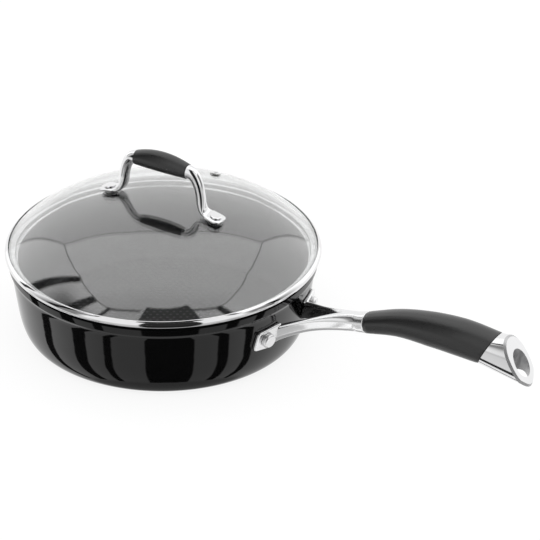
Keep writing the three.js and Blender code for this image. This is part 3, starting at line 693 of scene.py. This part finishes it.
def makeBracket():
    shoulder = handleSection(handle["grip"][0])
    neck = [handleSection(row, row[3] * fork["webShare"], row[4] * fork["webShare"]) for row in neckLine[:2]]
    count, last = handle["rowSteps"], len(neckLine) - 1
    places = [fork["meetPlace"] + (last - fork["meetPlace"]) * i / count for i in range(count)]
    neck += [handleSection(rowBetween(neckLine, place)) for place in places]
    neck.append(movedSection(shoulder, -clearance - fork["neckEdge"]))
    neck.append(movedSection(shoulder, -clearance - handle["gripStep"], fork["neckInset"]))
    neck += coreSections(0, -clearance, handle["coreInCap"])
    wallSide = [Vector((0, -clearance))] + outerWall(clearance)
    wallSide += [Vector((pan["lipRadius"] + clearance, pan["height"])), Vector((0, pan["height"]))]
    wallCutter = turnedMesh("wallSide", wallSide, pan["around"])
    wishbone = joinedMesh("wishbone", [loftedMesh("neck", neck, handle["around"]), forkArm(1), forkArm(-1)])
    wishbone = fusedMesh(wishbone, fork["voxel"], fork["easeRounds"], fork["sharp"])   # the arms flow into the neck
    shells = [cutMesh(shell, [wallCutter]) for shell in (wishbone, footPlate(1), footPlate(-1))]
    bpy.data.meshes.remove(wallCutter)
    mesh = fusedMesh(joinedMesh("forkBracket", shells), fork["voxel"], fork["rounds"], fork["sharp"])
    addPiece("forkBracket", mesh, [satinSteel], "pan", ["handle_bracket"])


makeBracket()

# drum-headed rivets
rivet = {
    "shank": 3, "head": 5.9, "headRise": 4.1, "headEdge": 0.7, "tail": 5.6, "tailRise": 1.5, "tailEdge": 0.5,
    "crown": 0.83, "crownDrop": 0.12, "crownCut": 0.6, "shoulder": 0.66, "around": 56,
}


def drumHead(radius, base, rise, edge):
    # from the axis over the crown to the foot of the head; a negative rise points down
    drop = math.copysign(rivet["crownDrop"], rise)
    return softOutline([
        (0, base + rise, 0), (radius * rivet["crown"], base + rise - drop, rivet["crownCut"]),
        (radius, base + rise * rivet["shoulder"], edge), (radius, base, 0)])


rivetTailLow = -pan["wall"] - clearance
rivetHeadLow = fork["footThick"] + clearance
rivetOutline = drumHead(rivet["tail"], rivetTailLow, -rivet["tailRise"], rivet["tailEdge"])
rivetOutline += [Vector((rivet["shank"], rivetTailLow)), Vector((rivet["shank"], rivetHeadLow))]
rivetOutline += drumHead(rivet["head"], rivetHeadLow, rivet["headRise"], rivet["headEdge"])[::-1]
for sideName, sign in (("left", 1), ("right", -1)):
    mesh = turnedMesh("rivet", rivetOutline, rivet["around"])
    addPiece("rivet" + sideName.title(), mesh, [dullSteel], "pan", ["handle_rivet_" + sideName],
             rivetFrame(sign))
print("stage: bracket and rivets")

# soft sleeve of the long handle, with eased ends
sleeve = {"edge": 0.7, "edgeSteps": 4}


def sleeveEnd(section, towards):
    rows = []
    for i in range(sleeve["edgeSteps"]):
        angle = math.pi / 2 * i / sleeve["edgeSteps"]
        inset = sleeve["edge"] * (1 - math.sin(angle))
        rows.append(movedSection(section, towards * sleeve["edge"] * (1 - math.cos(angle)), inset))
    return rows


outerRows = [handleSection(row) for row in gripRows]
sleeveSections = sleeveEnd(outerRows[0], 1) + outerRows[1:-1] + sleeveEnd(outerRows[-1], -1)[::-1]
boreSections = coreSections(clearance, 0, 0)
sleeveMesh = loftedMesh("handleGrip", sleeveSections + boreSections[::-1], handle["around"], True)
addPiece("handleGrip", sleeveMesh, [softGrip], "pan", ["handle_grip"])

# end cap: slanted bevelled face and a leaning oval hole
cap = {
    "bevelDepth": 1.7, "bevelWidth": 1.7, "holeLong": 8.5, "holeWide": 8.4, "holeShift": 1.45, "holeReach": 60,
    "holeLean": math.radians(16), "flare": 1.6, "flareDepth": 4.8, "flareInside": 0.85, "rows": 14, "sharp": 20,
    "around": 128, "socketAround": 40, "holeSlack": 0.02, "holeFacing": -0.8, "bevelSlack": 0.05,
    "bevelFacing": (0.2, 0.95),
}


def makeEndCap():
    joint = handleSection(handle["grip"][-1])
    face = {**handleSection(handle["face"], pinch=handle["capPinch"]), "crease": handle["capCrease"]}
    bevelStart = movedSection(face, -cap["bevelDepth"])
    ends = (movedSection(joint, clearance), bevelStart, movedSection(face, 0, cap["bevelWidth"]))
    first, last, front = (sectionRing(section, cap["around"]) for section in ends)
    sides = [[a.lerp(b, i / cap["rows"]) for a, b in zip(first, last)] for i in range(cap["rows"] + 1)]
    skin = ringMesh("endCap", sides + [front])
    core = coreSections(clearance, 0, handle["coreInCap"] + clearance / capLength)
    lean = Matrix.Translation((face["middle"].x + cap["holeShift"], 0, face["middle"].z))
    lean = lean @ Matrix.Rotation(cap["holeLean"], 4, "Y")
    lower = -face["tall"] * math.cos(math.radians(handle["face"][2]))
    flareTop = lower + cap["flareDepth"] * cap["flareInside"]
    widest = 1 + cap["flare"] / cap["holeLong"]
    far, size = cap["holeReach"], (cap["holeLong"], cap["holeWide"])
    levels = ((far, 1), (flareTop, 1), (flareTop - cap["flareDepth"], widest), (-far, widest))
    rings = [ovalRing(lean, *size, height, cap["around"], widen) for height, widen in levels]
    cutters = [loftedMesh("socket", core, cap["socketAround"]), ringMesh("hole", rings)]
    mesh = cutMesh(skin, cutters, cap["sharp"])
    addPiece("endCap", mesh, [steel, boreSteel], "pan", ["handle_end_cap"])
    back = lean.inverted()
    leastFacing, mostFacing = cap["bevelFacing"]
    for patch in mesh.polygons:   # the hole and the bevel are left duller than the rest
        spot = back @ (patch.center / mm)
        turned = back.to_3x3() @ patch.normal
        reach = Vector((spot.x / cap["holeLong"], spot.y / cap["holeWide"])).length
        isHole = reach < widest + cap["holeSlack"] and spot.xy.dot(turned.xy) < cap["holeFacing"] * spot.xy.length
        behind = (face["middle"] - patch.center / mm).dot(face["axis"])
        isBevel = cap["bevelSlack"] < behind < cap["bevelDepth"] - cap["bevelSlack"]
        isBevel = isBevel and leastFacing < patch.normal.dot(face["axis"]) < mostFacing
        patch.material_index = int(isHole or isBevel)


makeEndCap()
print("stage: grip and end cap")


# lid glass: a flat crown curve that runs into a tighter shoulder
lid = {
    "overhang": 2.7, "seatGap": 0.35, "bandHeight": 6, "gauge": 0.9, "cover": 2.9, "corner": 1.8, "lowRoll": 1.7,
    "skirtGap": 3.2, "skirtDepth": 4.2, "skirtHem": 1.4, "glassThick": 4, "glassInBand": 2, "rise": 40.3,
    "crownRadius": 238, "crownShare": 0.66, "grindStep": 0.01, "grindEdge": 0.3, "boreSpan": (-8, 4),
    "domeSteps": 26, "flatSteps": 3, "skirtSteps": 4, "bendSteps": 8, "endSteps": 6, "boreAround": 40, "around": 192,
    "bandSharp": 60,
}
lidRadius = pan["lipRadius"] + lid["overhang"]
bandBottom = pan["height"] + lid["seatGap"]
bandLip = lidRadius - lid["cover"]
glassEdge = lidRadius - lid["glassInBand"]
edgeHeight = bandBottom + lid["bandHeight"] - lid["gauge"] - clearance
crownHeight = edgeHeight + lid["rise"]
crownReach = lidRadius * lid["crownShare"]
crownTilt = math.asin(crownReach / lid["crownRadius"])
bendPoint = Vector((crownReach, crownHeight - lid["crownRadius"] * (1 - math.cos(crownTilt))))
bendInward = Vector((-math.sin(crownTilt), -math.cos(crownTilt)))
chord = Vector((bandLip, edgeHeight)) - bendPoint
shoulderRadius = chord.length_squared / (2 * chord.dot(bendInward))
shoulderCentre = bendPoint + bendInward * shoulderRadius
lipTilt = math.asin((bandLip - shoulderCentre.x) / shoulderRadius)
edgeTilt = math.asin((glassEdge - shoulderCentre.x) / shoulderRadius)


def domePoint(tilt, lift):
    crown = tilt <= crownTilt
    radius = (lid["crownRadius"] if crown else shoulderRadius) + lift
    centre = Vector((0, crownHeight - lid["crownRadius"])) if crown else shoulderCentre
    return centre + Vector((math.sin(tilt), math.cos(tilt))) * radius


def domeFace(lastTilt, lift):
    steps = lid["domeSteps"]
    points = [domePoint(crownTilt * i / steps, lift) for i in range(steps)]
    return points + [domePoint(crownTilt + (lastTilt - crownTilt) * i / steps, lift) for i in range(steps + 1)]


def glassFrame(reach, turnAngle):
    tilt = math.asin(reach / lid["crownRadius"])
    spot = domePoint(tilt, 0)
    place = Matrix.Rotation(turnAngle, 4, "Z") @ Matrix.Translation((spot.x, 0, spot.y))
    return place @ Matrix.Rotation(tilt, 4, "Y")


# bolts and vent, whose places the glass needs; the head's shape is in shares of its radius and rise,
# and edges are the roundings along an outline
bolt = {
    "reach": 48.2, "shank": 2.4, "head": 4.7, "headRise": 1.3, "headShape": [(1, 0), (1, 0.75), (0.86, 0.96), (0, 1)],
    "edges": [0, 0.3, 0, 0.15, 0.35, 0.5, 0], "padThick": 2.6, "gap": 0.12, "around": 48, "edgeSteps": 4,
    "spacer": 5.7, "spacerThick": 0.7, "spacerEdge": 0.4,
    "topWasher": 5.4, "topWasherThick": 0.4, "topWasherEdge": 0.25,
    "bottomWasher": 6.6, "bottomWasherThick": 1.2, "bottomWasherEdge": 0.35,
    "nut": 5.6, "nutHeight": 5, "nutRoof": 1.2, "nutTip": 0.82, "nutTipRise": 0.7, "nutFoot": 0.92,
    "nutFootRise": 0.4, "nutSharp": 20,
}
vent = {
    "reach": 78.7, "bore": 1.8, "tube": 2.7, "flange": 3.9, "flangeRise": 0.6, "flangeSide": 0.66, "flangeTop": 0.8,
    "edges": [0.2, 0.2, 0.1, 0, 0, 0.15, 0.25, 0.5, 0.4], "grommet": 4.5, "grommetRise": 0.5, "grommetEdge": 0.3,
    "around": 48,
}
boltFrames = {"front": glassFrame(bolt["reach"], 0), "rear": glassFrame(bolt["reach"], math.pi)}
ventFrame = glassFrame(vent["reach"], math.pi / 2)


def boreMesh(place, radius):
    rings = [ovalRing(place, radius, radius, height, lid["boreAround"]) for height in lid["boreSpan"]]
    return ringMesh("bore", rings)


def makeGlassDome():
    grindHeight = bandBottom + lid["gauge"] + clearance
    grindTilt = math.acos((grindHeight - shoulderCentre.y) / (shoulderRadius - lid["glassThick"]))
    top = domeFace(edgeTilt, 0)
    below = domeFace(grindTilt, -lid["glassThick"])
    top[0].x = below[0].x = 0
    edge = softOutline([
        (*top[-1], 0), (glassEdge, top[-1].y - lid["grindStep"], 0), (glassEdge, grindHeight, lid["grindEdge"]),
        (*below[-1], 0)])
    blank = turnedMesh("glassDome", top + edge[1:-1] + below[::-1], lid["around"])
    cutters = [boreMesh(place, bolt["shank"] + shankRoom) for place in boltFrames.values()]
    cutters.append(boreMesh(ventFrame, vent["tube"] + shankRoom))
    mesh = cutMesh(blank, cutters)
    addPiece("glassDome", mesh, [glassFinish], "lid", ["lid_glass"])


makeGlassDome()


# rim band: one strip over the glass edge, down the outside, under it and into a hemmed skirt
def stripOutline(middle, gauge):
    left, right = [], []
    last = len(middle) - 1
    for i, spot in enumerate(middle):
        along = (middle[min(i + 1, last)] - middle[max(i - 1, 0)]).normalized()
        sideways = Vector((-along.y, along.x)) * gauge / 2
        left.append(spot + sideways)
        right.append(spot - sideways)
    ends = []
    steps = lid["endSteps"]
    for spot, side in ((middle[-1], left[-1] - middle[-1]), (middle[0], right[0] - middle[0])):
        ends.append([spot + Matrix.Rotation(-math.pi * i / steps, 2) @ side for i in range(1, steps)])
    return left + ends[0] + right[::-1] + ends[1]


def makeRimBand():
    lipStart = domePoint(lipTilt, clearance + lid["gauge"] / 2)
    lipDown = Vector((math.cos(lipTilt), -math.sin(lipTilt)))
    bandWall = lidRadius - lid["gauge"] / 2
    seat = bandBottom + lid["gauge"] / 2
    brow = lipStart + lipDown * ((bandWall - lipStart.x) / lipDown.x)
    browStart = brow - lipDown * lid["corner"]
    browEnd = Vector((bandWall, brow.y - lid["corner"]))
    skirt = rimInner - lid["skirtGap"] - lid["gauge"] / 2
    low, hem = bandBottom - lid["skirtDepth"], lid["skirtHem"]
    roll, turn = lid["lowRoll"], lid["gauge"]
    bends = [   # steps of the straight run before each bend, then the bend's start, corner and end
        (lid["flatSteps"], browStart, brow, browEnd),
        (lid["flatSteps"], (bandWall, seat + roll), (bandWall, seat), (bandWall - roll, seat)),
        (lid["flatSteps"], (skirt + turn, seat), (skirt, seat), (skirt, seat - turn)),
        (lid["skirtSteps"], (skirt, low + hem), (skirt, low), (skirt - hem, low)),
    ]
    path = [lipStart]
    for steps, start, corner, end in bends:
        path += straightPoints(path[-1], start, steps)
        path += curvePoints((start, corner, end), lid["bendSteps"])
    mesh = turnedMesh("rimBand", stripOutline(path, lid["gauge"]), lid["around"], True, lid["bandSharp"])
    addPiece("rimBand", mesh, [steel], "lid", ["lid_rim_band"])


makeRimBand()
print("stage: glass and rim band")


# bolt stacks: heights are from the outside of the glass
def ringOutline(inner, outer, low, high, cut):
    corners = [(inner, low, cut / 2), (outer, low, cut), (outer, high, cut), (inner, high, cut / 2)]
    return softOutline(corners, True, bolt["edgeSteps"])


boltBore = bolt["shank"] + shankRoom
washerLow = bolt["gap"]
spacerLow = washerLow + bolt["topWasherThick"] + bolt["gap"]
padLow = spacerLow + bolt["spacerThick"] + bolt["gap"]
headLow = padLow + bolt["padThick"] + bolt["gap"]
underHigh = -lid["glassThick"] - clearance - bolt["bottomWasher"] ** 2 / (2 * lid["crownRadius"])
bottomLow = underHigh - bolt["bottomWasherThick"]
nutHigh = bottomLow - clearance
nutLow = nutHigh - bolt["nutHeight"]
boltTip = nutLow + bolt["nutRoof"] + clearance
boltSpots = [(0, boltTip), (bolt["shank"], boltTip), (bolt["shank"], headLow)]
boltSpots += [(bolt["head"] * across, headLow + bolt["headRise"] * up) for across, up in bolt["headShape"]]
boltOutline = edgedOutline(boltSpots, bolt["edges"])


def ringPart(name, low):
    outline = ringOutline(boltBore, bolt[name], low, low + bolt[name + "Thick"], bolt[name + "Edge"])
    return turnedMesh(name, outline, bolt["around"], True)


def hexNut():
    # six-sided closed nut with chamfered corners
    radius, bore = bolt["nut"], boltBore / math.cos(math.pi / 6)
    roof = nutLow + bolt["nutRoof"]
    outline = [
        (0, nutLow), (radius * bolt["nutTip"], nutLow), (radius, nutLow + bolt["nutTipRise"]),
        (radius, nutHigh - bolt["nutFootRise"]), (radius * bolt["nutFoot"], nutHigh), (bore, nutHigh),
        (bore, roof), (0, roof)]
    return turnedMesh("nut", outline, 6, sharp=bolt["nutSharp"])


for endName, place in boltFrames.items():
    parts = (
        ("bolt", "bolt", turnedMesh("bolt", boltOutline, bolt["around"]), steel, "polished_steel"),
        ("spacer", "spacer", ringPart("spacer", spacerLow), dullSteel, "polished_steel"),
        ("topWasher", "top_washer", ringPart("topWasher", washerLow), darkSilicone, "dark_silicone"),
        ("bottomWasher", "bottom_washer", ringPart("bottomWasher", bottomLow), darkSilicone, "dark_silicone"),
        ("nut", "nut", hexNut(), blackSteel, "blackened_steel"),
    )
    for name, partName, mesh, finish, slot in parts:
        addPiece(name + endName.title(), mesh, [finish], "lid", [f"lid_{partName}_{endName}"], place)


# steam vent: steel eyelet on a soft ring
def addVent():
    bore, tube, flange, rise = vent["bore"], vent["tube"], vent["flange"], vent["flangeRise"]
    low = -lid["glassThick"] - clearance
    seat = clearance + vent["grommetRise"] + clearance
    spots = [
        (bore, low - rise), (tube + rise, low - rise), (tube + rise, low), (tube, low), (tube, seat), (flange, seat),
        (flange, seat + rise * vent["flangeSide"]), (flange * vent["flangeTop"], seat + rise), (bore, seat + rise)]
    outline = edgedOutline(spots, vent["edges"], True, bolt["edgeSteps"])
    mesh = turnedMesh("ventEyelet", outline, vent["around"], True)
    addPiece("ventEyelet", mesh, [steel], "lid", ["vent_eyelet"], ventFrame)
    top = clearance + vent["grommetRise"]
    outline = ringOutline(tube + shankRoom, vent["grommet"], clearance, top, vent["grommetEdge"])
    mesh = turnedMesh("ventGrommet", outline, vent["around"], True)
    addPiece("ventGrommet", mesh, [milky], "lid", ["vent_grommet"], ventFrame)


addVent()
print("stage: bolts and vent")

# bow handle: pads on the bolts, insteps, leaning legs, collars at the grip and a bar through it
bow = {
    "padRadius": 7.2, "padPower": 3, "padEdge": 3.2, "padSteps": 12, "bar": 4.1, "collar": 5.6, "collarInset": 0.35,
    "instep": 5.8, "legTopReach": 33.6, "legTopRise": 27.4, "legMiddle": 15, "instepPull": 5.4, "instepPush": 9,
    "bendPush": 12.8, "bendPull": 5.6, "rise": 34.1, "core": 3.4, "step": 0.02, "gripHalf": 23.8, "gripEndWide": 5.7,
    "gripMidWide": 7, "gripEndTop": 5.8, "gripMidTop": 10.4, "gripUnder": 5.7, "gripPower": 2.25, "gripEdge": 0.45,
    "gripSink": 0.05, "gripSteps": 30, "around": 48, "steps": 26,
}
padMiddle = boltFrames["front"] @ Vector((0, 0, padLow + bolt["padThick"] / 2))
padOut = (boltFrames["front"].to_3x3() @ Vector((1, 0, 0))).normalized()
bowAxis = padMiddle.z + bow["rise"]


def barSection(x, wide, tall, **more):
    return crossSection(Vector((x, 0, bowAxis)), Vector((1, 0, 0)), wide, tall, **more)


def makeBow():
    steps = bow["steps"]
    halfPad = bolt["padThick"] / 2
    heel = padMiddle + padOut * (-bolt["spacer"] - clearance)
    legFoot = Vector((heel.x - bow["instep"], 0, padMiddle.z))
    legAxis = (Vector((bow["legTopReach"], 0, padMiddle.z + bow["legTopRise"])) - legFoot).normalized()
    legMiddle = legFoot + legAxis * bow["legMiddle"]
    collar = Vector((bow["gripHalf"] + clearance, 0, bowAxis))
    instep = [heel, heel - padOut * bow["instepPull"], legMiddle - legAxis * bow["instepPush"], legMiddle]
    bend = [legMiddle, legMiddle + legAxis * bow["bendPush"], collar + Vector((bow["bendPull"], 0, 0)),
            collar + Vector((bow["step"], 0, 0))]
    sections = []
    for i in range(1, bow["padSteps"] + 1):   # the rounded tip of the pad
        share = math.cos(math.pi / 2 * i / bow["padSteps"])
        half = bow["padRadius"] * (1 - share ** bow["padPower"]) ** (1 / bow["padPower"])
        spot = padMiddle + padOut * bow["padRadius"] * share
        sections.append(crossSection(spot, -padOut, half, halfPad, power=bow["padEdge"]))
    for i, spot in enumerate([heel] + curvePoints(instep, steps)):
        share = i / steps
        wide = between(bow["padRadius"], bow["bar"], math.sqrt(share))
        tall = between(halfPad, bow["bar"], eased(share))
        power = between(bow["padEdge"], 2, eased(share))
        sections.append(crossSection(spot, curveHeading(instep, share), wide, tall, power=power))
    for i, spot in enumerate(curvePoints(bend, steps), 1):
        share = i / steps
        radius = between(bow["bar"], bow["collar"], share ** 2)
        sections.append(crossSection(spot, curveHeading(bend, share), radius, radius))
    inset = bow["collar"] - bow["collarInset"]
    sections.append(barSection(collar.x + bow["step"] / 2, inset, inset))
    sections.append(barSection(collar.x, bow["core"], bow["core"]))
    flip = Vector((-1, 1, 1))
    for section in sections[::-1]:
        sections.append({**section, "middle": section["middle"] * flip, "up": section["up"] * flip})
    mesh = loftedMesh("bowHandle", sections, bow["around"])
    addPiece("bowHandle", mesh, [steel], "lid", ["lid_bow_handle"])


makeBow()


# soft sleeve of the bow: flat below, arched above, fattest in the middle
def makeBowGrip():
    sections = []
    count = bow["gripSteps"]
    for i in range(count + 1):
        share = math.sin(math.pi * (i / count - 0.5))   # closer rows towards the ends
        swell = 1 - share * share
        wide = between(bow["gripEndWide"], bow["gripMidWide"], swell)
        top = between(bow["gripEndTop"], bow["gripMidTop"], swell)
        shape = {"under": bow["gripUnder"], "power": bow["gripPower"]}
        sections.append(barSection(-share * bow["gripHalf"], wide, top, **shape))
    for section in (sections[0], sections[-1]):
        for label in ("wide", "tall", "under"):
            section[label] -= bow["gripEdge"]
    reach, bore = bow["gripHalf"] - bow["gripSink"], bow["core"] + clearance
    ends = [barSection(x, bore, bore) for x in (-reach, reach)]
    mesh = loftedMesh("bowGrip", sections + ends, bow["around"], True)
    addPiece("bowGrip", mesh, [softGrip], "lid", ["lid_handle_grip"])


makeBowGrip()
print("stage: bow handle and its grip")


# studio: a pale floor, an even world, and a tent of panels that only gloss and metal reflect
studio = {
    "azimuth": math.radians(32.5), "elevation": math.radians(29.15), "distance": 3.945, "aim": (0, 0, 0.0715),
    "aimPixel": (163.2, 246.8), "middlePixel": 270, "focalPixels": 5000, "sensor": 36, "frameSize": 540,
    "aimRounds": 8, "farthest": 50, "floorHalf": 6, "floorLevel": -0.0004, "floorMatt": 0.18, "floorGlow": 0.86,
    "floorPlain": 0.8, "plainLevel": 1.0,
}
# level directions towards the camera and to its right
toFront = Vector((math.sin(studio["azimuth"]), -math.cos(studio["azimuth"]), 0))
toRight = Vector((math.cos(studio["azimuth"]), math.sin(studio["azimuth"]), 0))


def addCamera():
    azimuth, elevation = studio["azimuth"], studio["elevation"]
    aim = Vector(studio["aim"])
    level = math.cos(elevation)
    back = Vector((math.sin(azimuth) * level, -math.cos(azimuth) * level, math.sin(elevation)))
    place = aim + back * studio["distance"]
    wanted = [(spot - studio["middlePixel"]) / studio["focalPixels"] for spot in studio["aimPixel"]]
    forward = -back
    for _ in range(studio["aimRounds"]):   # turns until the aim falls on its pixel, with the horizon level
        right = forward.cross(Vector((0, 0, 1))).normalized()
        down = forward.cross(right)
        seen = aim - place
        depth = seen.dot(forward)
        missAcross = seen.dot(right) / depth - wanted[0]
        missDown = seen.dot(down) / depth - wanted[1]
        forward = (forward + right * missAcross + down * missDown).normalized()
    right = forward.cross(Vector((0, 0, 1))).normalized()
    up = right.cross(forward)
    view = Matrix((right, up, -forward)).transposed().to_4x4()
    view.translation = place
    lens = bpy.data.cameras.new("photoCamera")
    lens.sensor_width = studio["sensor"]
    lens.lens = studio["focalPixels"] / studio["frameSize"] * studio["sensor"]
    lens.clip_end = studio["farthest"]
    camera = linked("photoCamera", lens)
    camera.matrix_world = view
    bpy.context.scene.camera = camera


addCamera()


def paperSheet(name, corners):
    # a flat sheet whose finish is still empty
    mesh = bpy.data.meshes.new(name)
    mesh.from_pydata(corners, [], [(0, 1, 2, 3)])
    paper = bpy.data.materials.new("pale" + name.title())
    mesh.materials.append(paper)
    return linked(name, mesh), emptyTree(paper)


def mattOf(tree, grey):
    return addNode(tree, "BsdfDiffuse", {"Color": (grey, grey, grey, 1)}).outputs[0]


def glowOf(tree, level, under):
    glow = addNode(tree, "Emission", {"Strength": level})
    return addNode(tree, "AddShader", {0: under, 1: glow.outputs[0]}).outputs[0]


def addFloor():
    half, level = studio["floorHalf"], studio["floorLevel"]
    corners = [(-half, -half, level), (half, -half, level), (half, half, level), (-half, half, level)]
    floor, tree = paperSheet("floor", corners)
    path = addNode(tree, "LightPath")
    seen = glowOf(tree, studio["floorGlow"], mattOf(tree, studio["floorMatt"]))
    mix = addNode(tree, "MixShader", {
        0: path.outputs["Is Camera Ray"], 1: mattOf(tree, studio["floorPlain"]), 2: seen})
    addNode(tree, "OutputMaterial", {"Surface": mix.outputs[0]})
    floor.visible_glossy = False


addFloor()

# pale card on the floor beside the handle, seen only in the bracket and its rivets;
# ahead is towards the camera and across is to the right
card = {"ahead": (0.1, 0.24), "across": (0.03, 0.2), "levels": (0.48, 0.52), "grainScale": 40}


def addCard():
    near, far = card["ahead"]
    left, right = card["across"]
    spots = ((near, left), (far, left), (far, right), (near, right))
    sheet, tree = paperSheet("card", [toFront * ahead + toRight * across for ahead, across in spots])
    level = rangeOf(tree, grainOf(tree, card["grainScale"]), *card["levels"])
    clear = addNode(tree, "BsdfTransparent")
    addNode(tree, "OutputMaterial", {"Surface": glowOf(tree, level, clear.outputs[0])})
    lit = bpy.data.collections.new("cardLit")
    for name in ("forkBracket", "rivetLeft", "rivetRight"):
        lit.objects.link(bpy.data.objects[name])
    sheet.light_linking.receiver_collection = lit
    sheet.visible_camera = sheet.visible_diffuse = sheet.visible_shadow = sheet.visible_transmission = False


addCard()

# tent: bearings are from the camera's side, positive to the right; heights are above the horizon, in degrees
tent = {
    "topLevel": 1.27, "topFront": 1.0, "topFade": (-0.05, 0.25), "backLevel": 1.0, "backTurn": (146.5, 147.5),
    "frontLevel": 0.95, "sideLevel": 1.25, "sideTurn": (45, 75), "lowLevel": 0.6, "lowSideLevel": 1.0,
    "lowTurn": (40, 110), "lowEdge": (-8, 2), "underLevel": 0.4, "underEdge": (-66, -58),
    "horizonRise": (-14, -2), "horizonFall": (42, 54), "horizonStart": (54, 64), "horizonEnd": (84, 118),
    "horizonDark": 0.8, "rightDrop": 18, "rightTurn": (-10, 10),
    "topEdge": [   # bearing to either side and height of the ceiling's edge there
        (0, 71), (22, 69.8), (30, 67.8), (43, 65.5), (54, 62.3), (62, 59.9), (72, 58.6), (88, 58.3), (106, 56),
        (118, 54), (131, 48.3), (137, 45), (147, 38), (152, 40.5), (158, 43.7), (167, 48), (180, 50.4)],
    "beamEnds": (30, 64), "beamSpan": (-2, 0.2), "beamDark": 0.7, "seamHalf": 0.45, "seamDark": 0.5,
    "upright": (146.4, 147.6), "uprightSpan": (8, 39), "lineSoft": 0.3, "endSoft": 0.5, "stripSoft": 0.7,
    "strips": [   # from bearing, to bearing, from height, to height
        (-26, 36.5, 54, 71.5), (-17, 26, -62, 54), (-117, -109.3, 0, 54.5), (-87, -77, 0, 58.2),
        (-62.7, -58.5, 40, 60), (57.5, 64.8, 40, 60), (80, 87, 0, 34), (-54, -46.5, -62, -25),
        (-83, -70.5, -62, -25), (-117, -107, -62, -25), (47, 57, -62, -25), (72, 80, -62, -25)],
    "stripDark": 0.975,
}


def windowOf(tree, value, low, high, soft):
    rise = rangeOf(tree, value, 0, 1, low - soft, low + soft, True)
    fall = rangeOf(tree, value, 1, 0, high - soft, high + soft, True)
    return mathOf(tree, "MULTIPLY", rise, fall)


def addWorld():
    world = bpy.data.worlds.new("studioTent")
    bpy.context.scene.world = world
    tree = emptyTree(world)
    heading = addNode(tree, "TexCoord").outputs["Generated"]

    def along(direction):
        return addNode(tree, "VectorMath", {0: heading, 1: direction}, operation="DOT_PRODUCT").outputs["Value"]

    def blend(share, first, second):
        return addNode(tree, "Mix", {0: share, 2: first, 3: second}, data_type="FLOAT").outputs[0]

    def times(first, second):
        return mathOf(tree, "MULTIPLY", first, second)

    def softRange(value, low, high, ends):
        return rangeOf(tree, value, low, high, *ends, True)

    def darkened(level, share, dark):
        return times(level, rangeOf(tree, share, 1, 1 - dark, 0, 1))

    front = along(toFront)
    bearing = times(mathOf(tree, "ARCTAN2", along(toRight), front), 180 / math.pi)
    height = times(mathOf(tree, "ARCSINE", along((0, 0, 1))), 180 / math.pi)
    sideways = mathOf(tree, "ABSOLUTE", bearing)
    edge = addNode(tree, "ValToRGB", {"Fac": mathOf(tree, "DIVIDE", sideways, 180)})
    stops = edge.color_ramp.elements
    for i, (turn, rise) in enumerate(tent["topEdge"]):
        stop = stops[i] if i < 2 else stops.new(turn / 180)
        stop.position = turn / 180
        stop.color = (rise / 90, rise / 90, rise / 90, 1)
    over = mathOf(tree, "SUBTRACT", height, times(edge.outputs["Color"], 90))   # above the ceiling's edge

    panels = softRange(sideways, tent["frontLevel"], tent["sideLevel"], tent["sideTurn"])
    panels = blend(softRange(sideways, 0, 1, tent["backTurn"]), panels, tent["backLevel"])
    lower = rangeOf(tree, sideways, tent["lowLevel"], tent["lowSideLevel"], *tent["lowTurn"])
    lower = blend(softRange(height, 1, 0, tent["underEdge"]), lower, tent["underLevel"])
    ceiling = rangeOf(tree, front, tent["topLevel"], tent["topFront"], *tent["topFade"])
    level = blend(softRange(height, 1, 0, tent["lowEdge"]), panels, lower)
    level = blend(softRange(over, 0, 1, (-tent["lineSoft"], tent["lineSoft"])), level, ceiling)

    seam = windowOf(tree, over, -tent["seamHalf"], tent["seamHalf"], tent["lineSoft"])
    upright = times(windowOf(tree, sideways, *tent["upright"], tent["lineSoft"]),
                    windowOf(tree, height, *tent["uprightSpan"], tent["endSoft"]))
    level = darkened(level, mathOf(tree, "MAXIMUM", seam, upright), tent["seamDark"])
    beam = times(windowOf(tree, over, *tent["beamSpan"], tent["lineSoft"]),
                 windowOf(tree, sideways, *tent["beamEnds"], tent["stripSoft"]))
    level = darkened(level, beam, tent["beamDark"])
    raised = mathOf(tree, "ADD", height, rangeOf(tree, bearing, 0, tent["rightDrop"], *tent["rightTurn"]))
    horizon = times(softRange(height, 0, 1, tent["horizonRise"]), softRange(raised, 1, 0, tent["horizonFall"]))
    horizon = times(horizon, softRange(sideways, 0, 1, tent["horizonStart"]))
    horizon = times(horizon, softRange(sideways, 1, 0, tent["horizonEnd"]))
    level = darkened(level, horizon, tent["horizonDark"])
    shade = None
    for left, right, low, high in tent["strips"]:
        strip = times(windowOf(tree, bearing, left, right, tent["stripSoft"]),
                      windowOf(tree, height, low, high, tent["stripSoft"]))
        shade = strip if shade is None else mathOf(tree, "MAXIMUM", shade, strip)
    level = darkened(level, shade, tent["stripDark"])

    path = addNode(tree, "LightPath")
    strength = blend(path.outputs["Is Glossy Ray"], studio["plainLevel"], level)
    background = addNode(tree, "Background", {"Color": (1, 1, 1, 1), "Strength": strength})
    addNode(tree, "OutputWorld", {"Surface": background.outputs[0]})
    world.cycles.sampling_method = "NONE"   # each kind of ray then finds its own level


addWorld()

bpy.context.scene.view_settings.view_transform = "Standard"
print("stage: camera, floor and tent")
